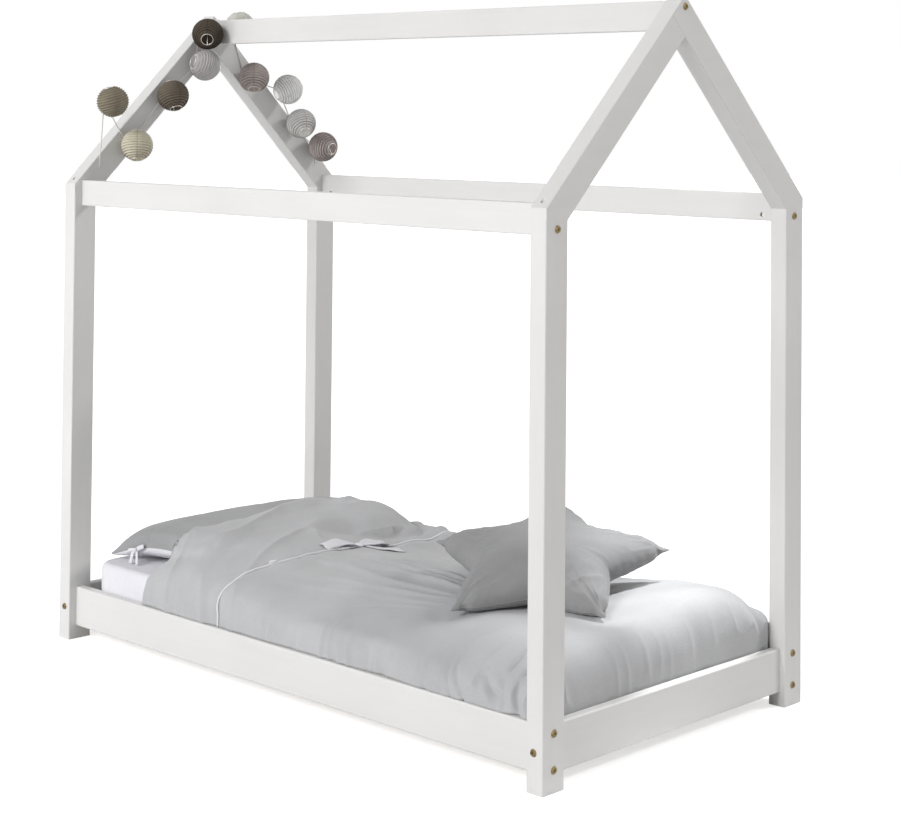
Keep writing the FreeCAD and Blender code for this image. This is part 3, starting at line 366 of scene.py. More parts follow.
def tube(name, points, radius, material, resolution=4):
    curve = bpy.data.curves.new(name, "CURVE")
    curve.dimensions = "3D"
    curve.bevel_depth = radius
    curve.bevel_resolution = resolution
    curve.use_fill_caps = True
    spline = curve.splines.new("POLY")
    spline.points.add(len(points) - 1)
    for spot, point in zip(spline.points, points):
        spot.co = (*point, 1)
    piece = bpy.data.objects.new(name, curve)
    scene.collection.objects.link(piece)
    curve.materials.append(material)
    return piece


def thicken(piece, thickness, offset=0):
    shell = piece.modifiers.new("thickness", "SOLIDIFY")
    shell.thickness = thickness
    shell.offset = offset


def carry(piece):
    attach(piece, "root")


def stuff(piece, node):
    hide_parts(node)
    carry(piece)


def grid_faces(rows, columns, start=0, wrap=False, flip=False):
    faces = []
    last = columns if wrap else columns - 1
    for row in range(rows - 1):
        for column in range(last):
            a = start + row * columns + column
            b = start + row * columns + (column + 1) % columns
            face = (a, b, b + columns, a + columns)
            faces.append(face[::-1] if flip else face)
    return faces


def way_along(line):
    """Distance from the start of a polyline to each of its points."""
    return np.concatenate([[0], np.cumsum(np.linalg.norm(np.diff(line, axis=0), axis=1))])


def spaced(line, count):
    """Points at even distances along a polyline."""
    line = np.asarray(line, float)
    steps = way_along(line)
    wanted = np.linspace(0, steps[-1], count)
    return np.stack([np.interp(wanted, steps, line[:, part]) for part in range(line.shape[1])], axis=1)


def surface_normals(grid):
    normal = np.cross(np.gradient(grid, axis=0), np.gradient(grid, axis=1))
    length = np.linalg.norm(normal, axis=2, keepdims=True)
    return normal / np.maximum(length, 1e-9)


# ------------------------------------------------------------ mattress in its fitted sheet

MATTRESS_LOW, MATTRESS_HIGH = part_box("mattress")
SHEET_LOW, SHEET_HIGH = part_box("fitted_sheet")
SHEET_TOP = SHEET_HIGH[2]
RAIL_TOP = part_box("side_rail_near")[1][2]
CORNER_STEPS = 10
SIDE_STEPS = 44
EDGE_STEPS = 6
FACE_STEPS = 6
TUCK_STEPS = 4
TOP_SHARES = (0.03, 0.25, 0.45, 0.62, 0.76, 0.86, 0.93)
UNDER_SHARES = (0.8, 0.5, 0.1)
MATTRESS_CORNER = 0.045
MATTRESS_EDGE = 0.014
SHEET_CORNER = 0.0465
SHEET_EDGE = 0.0155
SHEET_THICKNESS = 0.0008
SHEET_INSET = 0.0011        # the cloth's middle, inside the outline of its node
SHEET_FOLD = 0.0010
PLEAT_DEPTH = 0.0006
TOP_SAG = 0.02              # as a share of the edge's radius


def rounded_rectangle(half_x, half_y, radius):
    """Points round a rectangle with round corners, evenly along its sides."""
    corners = ((1, 1, 0), (-1, 1, 90), (-1, -1, 180), (1, -1, 270))

    def on_corner(number, step):
        side_x, side_y, start = corners[number % 4]
        angle = math.radians(start + 90 * step / CORNER_STEPS)
        return ((half_x - radius) * side_x + radius * math.cos(angle),
                (half_y - radius) * side_y + radius * math.sin(angle))

    points = []
    for number in range(4):
        points += [on_corner(number, step) for step in range(CORNER_STEPS + 1)]
        last, goal = points[-1], on_corner(number + 1, 0)
        for step in range(1, SIDE_STEPS):
            share = step / SIDE_STEPS
            points.append((last[0] + (goal[0] - last[0]) * share, last[1] + (goal[1] - last[1]) * share))
    return np.array(points)


def block_rings(low, high, corner, edge, tuck):
    """Rings from the middle of a block's top, over its edge, down its side and, if tucked, under."""
    middle = (np.array(low[:2]) + np.array(high[:2])) / 2
    half = (np.array(high[:2]) - np.array(low[:2])) / 2
    outline = rounded_rectangle(*half, corner)
    rings = [(outline * share + middle, high[2] - edge * TOP_SAG) for share in TOP_SHARES]

    def add_inset(inset, level):
        rings.append((rounded_rectangle(*(half - inset), corner - inset) + middle, level))

    for step in range(EDGE_STEPS + 1):
        angle = math.radians(90 * step / EDGE_STEPS)
        add_inset(edge * (1 - math.sin(angle)), high[2] - edge * (1 - math.cos(angle)))
    side_low = low[2] + (edge if tuck else 0)
    for step in range(1, FACE_STEPS + 1):
        share = step / FACE_STEPS
        rings.append((outline + middle, high[2] - edge + (side_low - high[2] + edge) * share))
    if tuck:
        for step in range(1, TUCK_STEPS + 1):
            angle = math.radians(90 * step / TUCK_STEPS)
            add_inset(edge * (1 - math.cos(angle)), low[2] + edge * (1 - math.sin(angle)))
        rings += [(outline * share + middle, low[2]) for share in UNDER_SHARES]
    return rings


def make_mattress():
    rings = block_rings(MATTRESS_LOW, MATTRESS_HIGH, MATTRESS_CORNER, MATTRESS_EDGE, True)
    count = len(rings[0][0])
    points = [(x, y, level) for ring, level in rings for x, y in ring]
    faces = grid_faces(len(rings), count, wrap=True, flip=True)
    faces.append(tuple(range(count)))
    faces.append(tuple(range(len(points) - 1, len(points) - count - 1, -1)))
    piece = add_mesh("mattress_block", points, faces, MATTRESS_CLOTH)
    stuff(piece, node="mattress")


def make_sheet():
    """The fitted sheet, drawn over the mattress with slack pleats at its corners and hem."""
    rings = block_rings(SHEET_LOW, SHEET_HIGH, SHEET_CORNER, SHEET_EDGE, False)
    count = len(rings[0][0])
    grid = np.array([[(x, y, level) for x, y in ring] for ring, level in rings])
    x, y, z = grid[..., 0], grid[..., 1], grid[..., 2]
    normal = surface_normals(np.concatenate([grid, grid[:, :1]], axis=1))[:, :-1]
    folds = layered(at(x * 9, y * 9, z * 22), 5) * SHEET_FOLD
    sides = smooth_step(SHEET_TOP - z, 0.0, 0.02)
    pleats = ripple(9, x * 38, y * 38, z * 7)
    shift = folds - SHEET_INSET + sides * pleats * PLEAT_DEPTH
    grid = grid - normal * shift[..., None] * np.sign(normal[0, 0, 2])
    grid[..., 2] = np.minimum(grid[..., 2], SHEET_TOP + 0.0002)
    faces = grid_faces(len(rings), count, wrap=True, flip=True)
    faces.append(tuple(range(count)))
    piece = add_mesh("fitted_sheet_cloth", grid.reshape(-1, 3), faces, SHEET_CLOTH)
    thicken(piece, SHEET_THICKNESS, 1)
    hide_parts("fitted_sheet")
    carry(piece)


make_mattress()
make_sheet()


# ------------------------------------------------------------ stuffed pieces

SWELL_ROUNDS = 900
SWELL_CELLS = 150           # along the longer side
OUTLINE_MARGIN = 0.02
GATHER_DEPTH = 0.034        # how far the gathers run in from the seam
GATHER_START = 0.012
BEND_SPAN = 6               # points of the outline, each way, over which a bend is measured


def swollen(inside, step, power):
    """Height of a membrane blown up over a flat shape, solved on a grid, from 0 to 1."""
    height = np.zeros(inside.shape)
    for _ in range(SWELL_ROUNDS):
        around = (np.roll(height, 1, 0) + np.roll(height, -1, 0)
                  + np.roll(height, 1, 1) + np.roll(height, -1, 1)) / 4
        height = np.where(inside, around + step * step, 0)
    return (height / height.max()) ** power


def corners_round(grid, place):
    """The grid's values at the four corners round each place, and the place's shares between them."""
    cell = np.clip(np.floor(place).astype(int), 0, np.array(grid.shape) - 2)
    column, row = cell[..., 0], cell[..., 1]
    return [grid[column + step, row + rise] for rise in (0, 1) for step in (0, 1)], place - cell


def blended(corners, part):
    a, b, c, d = corners
    right, up = part[..., 0], part[..., 1]
    return (a * (1 - right) + b * right) * (1 - up) + (c * (1 - right) + d * right) * up


def inside_outline(outline, points):
    """Whether each point lies inside a closed polygon."""
    x, y = points[:, 0], points[:, 1]
    found = np.zeros(len(points), bool)
    for (x1, y1), (x2, y2) in zip(outline, np.roll(outline, -1, axis=0)):
        crosses = (y1 > y) != (y2 > y)
        slope = (x2 - x1) / (y2 - y1 if abs(y2 - y1) > 1e-12 else 1e-12)
        found ^= crosses & (x < slope * (y - y1) + x1)
    return found


def drawn_together(outline):
    """How strongly the seam is gathered at each point of the outline: most where it bends."""
    before = outline - np.roll(outline, BEND_SPAN, axis=0)
    after = np.roll(outline, -BEND_SPAN, axis=0) - outline
    cross = before[:, 0] * after[:, 1] - before[:, 1] * after[:, 0]
    bend = np.abs(np.arctan2(cross, (before * after).sum(axis=1)))
    drawn = 0.35 + np.minimum(bend, 1.0)
    for _ in range(4):
        drawn = (np.roll(drawn, 1) + drawn * 2 + np.roll(drawn, -1)) / 4
    return drawn


def stuffed_mesh(outline, rings, top, bottom, pucker, seed, power=0.5):
    """Flat seam outline blown up to both sides: rows from the middle out, then the same below."""
    low = outline.min(axis=0) - OUTLINE_MARGIN
    size = outline.max(axis=0) + OUTLINE_MARGIN - low
    step = max(size) / SWELL_CELLS
    shape = tuple((size / step).astype(int) + 1)
    places = np.stack(np.meshgrid(*(np.arange(n) for n in shape), indexing="ij"), -1) * step + low
    inside = inside_outline(outline, places.reshape(-1, 2)).reshape(shape)
    height = swollen(inside, step, power)
    centre = outline.mean(axis=0)
    drawn = drawn_together(outline)
    count = len(outline)
    steps = way_along(outline)
    layers = []
    for share in np.sin(np.linspace(0.02, 1, rings) * math.pi / 2):
        flat = centre + (outline - centre) * share
        corners, part = corners_round(height, (flat - low) / step)
        rise = blended(corners, np.clip(part, 0, 1))
        edge = (1 - share) * np.linalg.norm(outline - centre, axis=1)
        seam = np.exp(-edge / GATHER_DEPTH) * (1 - hump(edge, GATHER_START))
        gather = ridges(seed, steps * 38, edge * 7)
        layers.append((flat, rise, seam * (gather ** 2 - 0.4) * pucker * drawn))
    layers[-1] = (layers[-1][0], np.zeros(count), np.zeros(count))
    upper = [np.column_stack([flat, rise * top + folds]) for flat, rise, folds in layers]
    lower = [np.column_stack([flat, -rise * bottom - folds]) for flat, rise, folds in layers[:-1]]
    points = np.concatenate(upper + lower[::-1])
    faces = grid_faces(rings * 2 - 1, count, wrap=True)
    faces.append(tuple(range(count))[::-1])
    faces.append(tuple(range(len(points) - count, len(points))))
    return points, faces


def out_share(points, full):
    """From 0 at a stuffed piece's seam to 1 over it, or -1 under it, where it is as thick as full."""
    return np.clip(np.abs(points[:, 2]) / full, 0, 1) * np.sign(points[:, 2])


# ------------------------------------------------------------ pillow

PILLOW_LOW, PILLOW_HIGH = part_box("pillow")
PILLOW_X = (PILLOW_LOW[0] + PILLOW_HIGH[0]) / 2
PILLOW_Y = (PILLOW_LOW[1] + PILLOW_HIGH[1]) / 2
PILLOW_WIDE = (PILLOW_HIGH[0] - PILLOW_LOW[0]) / 2
PILLOW_LONG = (PILLOW_HIGH[1] - PILLOW_LOW[1]) / 2
PILLOW_TALL = PILLOW_HIGH[2] - PILLOW_LOW[2]
PILLOW_SEAM = 0.026         # height of the seam over the pillow's underside
PILLOW_FULLER = 0.007
PILLOW_OUT = (0.006, 0.004) # how far its seam stands out in x and y
PILLOW_WAVE = 0.0035
PILLOW_PULL = 0.024         # how far the sides pull in between the corners
PILLOW_RINGS = 26
PILLOW_SIDE_POINTS = 60
END_SEAM_RISE = 0.021
CORNER_SEAM_DROP = 0.034


def drawn_in(half_x, half_y):
    """A rectangle whose sides pull in between its corners."""
    corners = [(-1, -1), (1, -1), (1, 1), (-1, 1)]
    points = []
    for number, (side_x, side_y) in enumerate(corners):
        next_x, next_y = corners[(number + 1) % 4]
        for step in range(PILLOW_SIDE_POINTS):
            share = step / PILLOW_SIDE_POINTS
            x = (side_x + (next_x - side_x) * share) * half_x
            y = (side_y + (next_y - side_y) * share) * half_y
            pull = PILLOW_PULL * (1 - (2 * share - 1) ** 4)
            if side_x == next_x:
                x -= side_x * pull
            else:
                y -= side_y * pull
            points.append((x, y))
    return np.array(points)


def make_pillow():
    """The pillow with a grey top, its own grey darkened further as painted shade, and a white underside,
    which part at its seam.
    """
    outline = drawn_in(PILLOW_WIDE + PILLOW_OUT[0], PILLOW_LONG + PILLOW_OUT[1])
    top = PILLOW_TALL - PILLOW_SEAM + PILLOW_FULLER
    points, faces = stuffed_mesh(outline, PILLOW_RINGS, top, PILLOW_SEAM, pucker=0.006, seed=21, power=0.36)
    points[:, 2] += layered(points[:, :2] * 9, 33) * PILLOW_WAVE * out_share(points, full=0.05)
    # the seam lies low at the corners and rises between them
    share_x, share_y = points[:, 0] / PILLOW_WIDE, points[:, 1] / PILLOW_LONG
    at_end = smooth_step(np.abs(share_y), 0.60, 1.0)
    at_corner = np.minimum(np.abs(share_x), 1.0) ** 2.2
    points[:, 2] += at_end * (END_SEAM_RISE - CORNER_SEAM_DROP * at_corner)
    points += np.array([PILLOW_X, PILLOW_Y, PILLOW_LOW[2] + PILLOW_SEAM])
    points[:, 2] = np.maximum(points[:, 2], PILLOW_LOW[2])
    piece = add_mesh("pillow_cushion", points, faces, PILLOW_CLOTH_AND_SHADE)
    piece.data.materials.append(SHEET_CLOTH)
    seam_start = (PILLOW_RINGS - 1) * len(outline)
    for face in piece.data.polygons:
        face.material_index = 1 if min(face.vertices) >= seam_start else 0
    stuff(piece, node="pillow")
    return piece


pillow_cushion = make_pillow()


# ------------------------------------------------------------ duvet

DUVET_LOW, DUVET_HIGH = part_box("duvet")
DUVET_HEAD = DUVET_LOW[0]
DUVET_FOOT = DUVET_HIGH[0] - 0.0004
POSTS_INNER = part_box("post_foot_near")[0][0] - 0.0012
POSTS_HALF = -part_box("post_foot_near")[1][1] - 0.0025
HEM_LEVEL = RAIL_TOP + 0.0015
HEM_HALF = 0.3675
HEM_REACH = 0.3758          # how far the hem may stand out over a rail
OVER_RAIL = 0.349           # from here out the cloth lies above the rail
FOOT_BULGE = 0.004          # how much wider the duvet is at its foot
CLOSING_INSET = 0.012
DUVET_CLOSING = 0.085       # length over which the foot rounds down
CLOSING_POWER = 2.7
SECTION_STEPS = 500
ROW_COUNT = 330
FOOT_ROWS = 70
COLUMN_COUNT = 220
# height of the duvet's middle, as (place along the bed, height)
DUVET_TOP = [
    (-0.4815, 0.284), (-0.44, 0.285), (-0.38, 0.281), (-0.32, 0.274), (-0.27, 0.266), (-0.22, 0.256),
    (-0.16, 0.245), (-0.10, 0.236), (0.0, 0.226), (0.1, 0.221), (0.3, 0.220), (0.5, 0.222), (0.72, 0.221),
]
# how much higher the far half lies than the near half
DUVET_TILT = [
    (-0.4815, 0.010), (-0.42, -0.011), (-0.36, -0.033), (-0.30, -0.045), (-0.22, -0.045), (-0.10, -0.040),
    (0.0, -0.032), (0.15, -0.017), (0.30, 0.002), (0.42, 0.014), (0.55, 0.028), (0.65, 0.032), (0.72, 0.028),
]
# how square the cross-section is, and which share of its height is a slow crown
DUVET_SQUARE = [(-0.4815, 2.3), (-0.40, 2.7), (-0.30, 3.5), (-0.2, 4.6), (-0.1, 4.5), (0.1, 3.7), (0.72, 3.5)]
DUVET_CROWN = [(-0.4815, 0.06), (-0.2, 0.09), (0.1, 0.13), (0.72, 0.13)]
# the white piping's way over the duvet from its near hem to its far one, as (y, x)
PIPING_WAY = [
    (-0.376, -0.200), (-0.366, -0.2065), (-0.3626, -0.210), (-0.352, -0.200), (-0.337, -0.190),
    (-0.313, -0.185), (-0.275, -0.181), (-0.246, -0.174), (-0.194, -0.162), (-0.115, -0.162),
    (-0.049, -0.172), (0.0145, -0.186), (0.09, -0.208), (0.157, -0.224), (0.204, -0.2275),
    (0.261, -0.2275), (0.30, -0.221), (0.376, -0.214),
]
# middles of the star cushion's five tips
STAR_TIPS = [
    (0.112, -0.024, 0.297), (0.339, -0.206, 0.222), (0.594, -0.045, 0.224), (0.524, 0.237, 0.305),
    (0.227, 0.249, 0.333),
]
# the dips that the cushion and its two low tips press into the duvet, as (x, y, width)
DIPS = [(0.40, 0.02, 0.17), (*STAR_TIPS[1][:2], 0.06), (*STAR_TIPS[2][:2], 0.06)]
DIP_DEPTH = 0.009
SWELL_DEPTH = 0.0075
RUMPLE_DEPTH = 0.0026
FAN_X, FAN_Y = 0.62, -0.03  # where the folds under the cushion would meet
FAN_DEPTH = 0.0125
BROAD_FAN_DEPTH = 0.010
OVER_PILLOW_DEPTH = 0.0085
HOLLOW_DEPTH = 0.004
CREASE_SWELL = 0.0045
CREASE_DEPTH = 0.0165
CREASE_WIDTH = 0.16
FOOT_GATHER_DEPTH = 0.010
GROOVE_DEPTH = 0.0036
GROOVE_WIDTH = 0.009
PUCKER_DEPTH = 0.0018
PUCKER_WIDTH = 0.016
# gaps that the cloth keeps from what it lies on
SHEET_ROUND = 0.015
FIRST_GAP = 0.007
UPPER_GAP = 0.003
UNDER_SHEET_GAP = 0.0010
UNDER_PILLOW_GAP = 0.0008
DUVET_THICK = 0.020
HEAD_SLANT = 0.056          # how far the head edge is drawn back on its near half
HEAD_SLANT_LENGTH = 0.20
LOOKUP_CELL = 0.01


def listed(pairs, place):
    """Value at a place, or at each of an array of places, between listed (place, value) pairs."""
    places, values = zip(*pairs)
    return np.interp(place, places, values)


def duvet_line(x, closing, drop):
    """The duvet's cross-section at a place along the bed, as (x, y, z) points from near to far."""
    power = listed(DUVET_SQUARE, x)
    crown_share = listed(DUVET_CROWN, x)
    tall = listed(DUVET_TOP, x) - HEM_LEVEL
    half = HEM_HALF + FOOT_BULGE * smooth_step(x, 0.30, 0.55) - CLOSING_INSET * (1 - closing)
    angle = np.linspace(-math.pi / 2, math.pi / 2, SECTION_STEPS)
    y = half * np.sign(np.sin(angle)) * np.abs(np.sin(angle)) ** (2 / power)
    z = HEM_LEVEL + tall * (1 - crown_share) * closing * np.abs(np.cos(angle)) ** (2 / power)
    z += tall * crown_share * closing * (1 - (y / half) ** 2)
    z += listed(DUVET_TILT, x) * closing * smooth_step(y, -0.17, 0.20) * fade(y, 0.25, 0.352)
    line = spaced(at(y, z), COLUMN_COUNT)
    line[:, 1] -= drop * fade(np.abs(line[:, 0]), 0.340, 0.350)
    return np.column_stack([np.full(COLUMN_COUNT, x), line])


def duvet_places():
    """Rows as (place, how far the section is open, drop), close together where the foot rounds down."""
    start = DUVET_FOOT - DUVET_CLOSING
    rows = [(x, 1.0, 0.0) for x in np.linspace(DUVET_HEAD, start, ROW_COUNT)[:-1]]
    for angle in np.linspace(0, math.pi / 2, FOOT_ROWS):
        out = math.sin(angle) ** (2 / CLOSING_POWER)
        rows.append((start + DUVET_CLOSING * out, max(math.cos(angle), 0.0) ** (2 / CLOSING_POWER), 0.0))
    return rows + [(DUVET_FOOT, 0.0, drop) for drop in (0.004, 0.008, 0.012)]


def duvet_swell(grid):
    """Broad shapes: slow swells, and the dips under the cushion and its low tips."""
    x, y = grid[..., 0], grid[..., 1]
    swell = layered(at(x * 3.2, y * 4.0), 3) * SWELL_DEPTH
    rumple = layered(at(x, y) * 11 + 5, 41, 2) * RUMPLE_DEPTH
    dips = 0.0
    for dip_x, dip_y, width in DIPS:
        dips = dips - DIP_DEPTH * np.exp(-((x - dip_x) ** 2 + (y - dip_y) ** 2) / width ** 2)
    return swell + rumple + dips


def duvet_folds(grid):
    """How far each point of the duvet stands proud for its finer folds and puckers."""
    x, y, z = grid[..., 0], grid[..., 1], grid[..., 2]
    flat = at(x, y)
    height = z - HEM_LEVEL
    # folds that fan out from the cushion's tips towards the head
    bent = np.arctan2(y - FAN_Y, x - FAN_X) + layered(flat * 5, 51) * 0.035
    reach = np.hypot(y - FAN_Y, x - FAN_X)
    fan = ridges(61, bent * 12, reach * 2.4)
    broad_fan = ridges(65, bent * 7.5, reach * 2.2)
    pulled = fade(x, 0.14, 0.30) * smooth_step(x, -0.20, 0.02) * fade(np.abs(y + 0.06), 0.08, 0.27)
    long_folds = (fan ** 3 * FAN_DEPTH + (broad_fan ** 2.2 - 0.3) * BROAD_FAN_DEPTH) * pulled
    # folds over the pillow, that fall towards the near hem, and hollows between them
    slant = ridges(71, (y * 0.55 + x) * 13 + layered(flat * 4, 55) * 0.5, (y - x) * 2.4)
    over = fade(x, -0.28, -0.10) * smooth_step(x, -0.482, -0.44) * slant ** 4 * OVER_PILLOW_DEPTH
    hollows = -HOLLOW_DEPTH * fade(x, -0.2, -0.05) * np.clip(layered(flat * 9, 77), 0, 1)
    # gathers along the hems, deeper towards the foot
    beside = smooth_step(np.abs(y), 0.290, 0.352) * fade(height, 0.010, 0.088)
    deep = 0.0024 + 0.0026 * smooth_step(x, -0.15, 0.30) + 0.0075 * smooth_step(x, 0.45, 0.69)
    wander = x + layered(at(x * 8, z * 9), 81) * 0.016
    fine = ridges(91, wander * 46, z * 6 + np.sign(y) * 7)
    broad = ridges(95, wander * 21, z * 4 + np.sign(y) * 7)
    hems = beside * deep * (fine ** 2 * 0.8 + broad ** 2 * 0.7 - 0.35)
    # creases that run up from the near hem beside the foot post, deep and narrow
    by_post = smooth_step(x, 0.36, 0.62) * fade(y, -0.32, -0.17) * fade(height, 0.05, 0.125)
    slope = x + height * 0.45 + layered(flat * 14, 87, 2) * 0.010
    crease = np.exp(-np.abs(ripple(111, slope * 27, z * 3 + 9)) / CREASE_WIDTH)
    hems = hems + by_post * (CREASE_SWELL - CREASE_DEPTH * crease)
    # gathers down the foot, deepest at its corners
    foot = smooth_step(x, DUVET_FOOT - 0.075, DUVET_FOOT - 0.012)
    corners = 0.25 + 0.9 * smooth_step(np.abs(y), 0.20, 0.33)
    across = ridges(99, (y + layered(flat * 12, 85) * 0.012) * 30, z * 5)
    foot_gathers = foot * corners * (across ** 2 - 0.35) * FOOT_GATHER_DEPTH * fade(height, 0.03, 0.125)
    # the sewn line of the piping pulls the cloth down and puckers it
    gap = np.abs(x - listed(PIPING_WAY, y))
    groove = -GROOVE_DEPTH * hump(gap, GROOVE_WIDTH)
    puckers = ripple(103, y * 44, np.full_like(y, 3.0)) * PUCKER_DEPTH
    puckers = puckers * hump(gap - PUCKER_WIDTH, PUCKER_WIDTH)
    return long_folds + over + hollows + hems + foot_gathers + groove + puckers


def clear_of_sheet(points, gap):
    """Points moved out of the sheet's round-edged block, to a gap from it at least."""
    centre = (np.array(SHEET_LOW) + np.array(SHEET_HIGH)) / 2
    half = (np.array(SHEET_HIGH) - np.array(SHEET_LOW)) / 2 - SHEET_ROUND
    away = points - centre
    beyond = np.abs(away) - half
    outside = np.maximum(beyond, 0)
    reach = np.linalg.norm(outside, axis=-1, keepdims=True)
    deep = np.max(beyond, axis=-1, keepdims=True)
    nearest = (beyond == deep).astype(float)
    way = np.where(reach > 1e-9, outside / np.maximum(reach, 1e-9), nearest) * np.sign(away)
    distance = np.where(reach > 1e-9, reach, deep) - SHEET_ROUND
    return points + way * np.maximum(gap - distance, 0)


def blurred(grid):
    for axis in (0, 1):
        grid = (np.roll(grid, 1, axis) + grid * 2 + np.roll(grid, -1, axis)) / 4
    return grid


def height_over(points):
    """Greatest height of a piece's points over each cell of the bed, smoothed, as a lookup."""
    table = {}
    for x, y, z in points:
        key = (math.floor(x / LOOKUP_CELL), math.floor(y / LOOKUP_CELL))
        table[key] = max(table.get(key, -1), z)
    keys = np.array(list(table))
    low = keys.min(axis=0)
    shape = keys.max(axis=0) - low + 1
    grid = np.full(shape, -1.0)
    grid[tuple((keys - low).T)] = list(table.values())
    covered = grid > 0
    filled = np.where(covered, grid, 0.0)
    weight = covered.astype(float)
    for _ in range(2):
        filled, weight = blurred(filled), blurred(weight)
    level = np.where(covered, np.maximum(grid, filled / np.maximum(weight, 1e-6)), -1.0)

    def look(places):
        place = places / LOOKUP_CELL - 0.5 - low
        cell = np.floor(place)
        inside = ((cell >= 0) & (cell < shape - 1)).all(axis=-1)
        corners, part = corners_round(level, place)
        whole = np.minimum.reduce(corners) > 0
        highest = np.where(inside, np.maximum.reduce(corners), -1.0)
        return np.where(inside & whole, blended(corners, part), highest)

    return look


pillow_height = height_over([tuple(vertex.co) for vertex in pillow_cushion.data.vertices])


def over_pillow(points, gap):
    lifted = points.copy()
    lifted[..., 2] = np.maximum(points[..., 2], pillow_height(points[..., :2]) + gap)
    return lifted


def softened(grid, rounds):
    for _ in range(rounds):
        grid = grid.copy()
        grid[1:-1, 1:-1] = (grid[1:-1, 1:-1] * 4 + grid[:-2, 1:-1] + grid[2:, 1:-1]
                            + grid[1:-1, :-2] + grid[1:-1, 2:]) / 8
    return grid


def outward(grid):
    normal = surface_normals(grid)
    return normal if normal[len(grid) // 2, COLUMN_COUNT // 2, 2] > 0 else -normal


def kept_in(grid):
    """Points kept inside the frame: between the rails' outer faces and clear of the foot posts."""
    grid = grid.copy()
    between = fade(np.abs(grid[..., 1]), POSTS_HALF - 0.010, POSTS_HALF)
    grid[..., 0] = np.minimum(grid[..., 0], POSTS_INNER + (DUVET_FOOT - POSTS_INNER) * between)
    grid[..., 1] = np.clip(grid[..., 1], -HEM_REACH, HEM_REACH)
    side = np.abs(grid[..., 1]) > OVER_RAIL
    grid[..., 2] = np.where(side, np.maximum(grid[..., 2], HEM_LEVEL), grid[..., 2])
    return grid


def slanted_head(grid):
    """The duvet's head edge drawn back over the near half of the pillow."""
    grid = grid.copy()
    up = smooth_step(grid[..., 2], HEM_LEVEL + 0.050, HEM_LEVEL + 0.150)
    near = fade(grid[..., 1], -0.16, 0.16)
    left = 1 - smooth_step(grid[..., 0], DUVET_HEAD, DUVET_HEAD + HEAD_SLANT_LENGTH)
    grid[..., 0] += HEAD_SLANT * up * near * left
    return grid


def duvet_surfaces():
    """The duvet's top, its underside and its normals, with a round edge at the head."""
    base = slanted_head(np.array([duvet_line(*row) for row in duvet_places()]))
    base = base + outward(base) * duvet_swell(base)[..., None]
    base = softened(over_pillow(clear_of_sheet(base, FIRST_GAP), FIRST_GAP), 10)
    normal = outward(base)
    upper = base + normal * duvet_folds(base)[..., None]
    upper = kept_in(clear_of_sheet(over_pillow(upper, UPPER_GAP), UPPER_GAP))
    head = np.clip((base[..., 0] - base[:1, :, 0]) / DUVET_THICK, 0, 1)
    thick = DUVET_THICK * np.sqrt(np.clip(1 - (1 - head) ** 2, 0, 1))
    top = upper + normal * (thick / 2 - DUVET_THICK / 2)[..., None]
    under = upper - normal * (DUVET_THICK / 2) - normal * (thick / 2)[..., None]
    under = kept_in(clear_of_sheet(over_pillow(under, UNDER_PILLOW_GAP), UNDER_SHEET_GAP))
    return top, under, normal


def make_duvet():
    top, under, normal = duvet_surfaces()
    rows, columns = top.shape[:2]
    points = np.concatenate([top.reshape(-1, 3), under.reshape(-1, 3)])
    below = rows * columns
    faces = grid_faces(rows, columns) + grid_faces(rows, columns, below, flip=True)
    for first in range(0, below - columns, columns):
        last = first + columns - 1
        faces.append((first, first + columns, first + columns + below, first + below))
        faces.append((last + columns, last, last + below, last + columns + below))
    for head in range(columns - 1):
        foot = below - columns + head
        faces.append((head + 1, head, head + below, head + 1 + below))
        faces.append((foot, foot + 1, foot + 1 + below, foot + below))
    piece = add_mesh("duvet_cover", points, faces, DUVET_CLOTH)
    stuff(piece, node="duvet")
    return top, normal


duvet_grid, duvet_normal = make_duvet()


def on_duvet(x, y, lift=0.0):
    """A point on the duvet's top over a place of the bed, lifted off it along its normal."""
    row = int(np.argmin(np.abs(duvet_grid[:, COLUMN_COUNT // 2, 0] - x)))
    line = duvet_grid[row]
    column = int(np.argmin(np.abs(line[:, 1] - y)))
    spot = line[column] + duvet_normal[row, column] * lift
    return Vector((spot[0] + x - line[column, 0], spot[1], spot[2]))


# ------------------------------------------------------------ piping, bow and ties

PIPING_RADIUS = 0.0025
PIPING_LIFT = 0.0014
PIPING_POINTS = 260
RIBBON_POINTS = 26
RIBBON_LIFT = 0.0018
RIBBON_CURL = 0.0012
RIBBON_START = 0.42         # width at the knot, as a share of the full width
TAPE_THICKNESS = 0.0009
TAPE_POINTS = 12
BOW_Y = 0.0145
BOW_X = float(listed(PIPING_WAY, BOW_Y))
# the bow's pieces as (way from the knot, lift, rise in the middle, width)
BOW_WINGS = {
    "bow_loop_near": ([(0, 0), (0.003, -0.055), (0.0055, -0.1085)], 0.0015, 0.0065, 0.029),
    "bow_loop_far": ([(0, 0), (-0.018, 0.060), (-0.0295, 0.1205)], 0.0015, 0.0065, 0.034),
    "bow_tail_near": ([(0, 0), (0.013, -0.045), (0.017, -0.082)], 0.0006, 0, 0.020),
    "bow_tail_far": ([(0, 0), (0.016, 0.055), (0.0225, 0.1125)], 0.0006, 0, 0.030),
}
KNOT_RINGS = 9
KNOT_POINTS = 12
KNOT_HALF = 0.013
KNOT_RADIUS = 0.0085
KNOT_END = 0.0004           # radius at its two ends
KNOT_FLATNESS = 0.6
KNOT_LIFT = 0.005
TIE_KNOT = (-0.592, -0.3000, 0.2085)
TAIL_END = SHEET_TOP + 0.0022
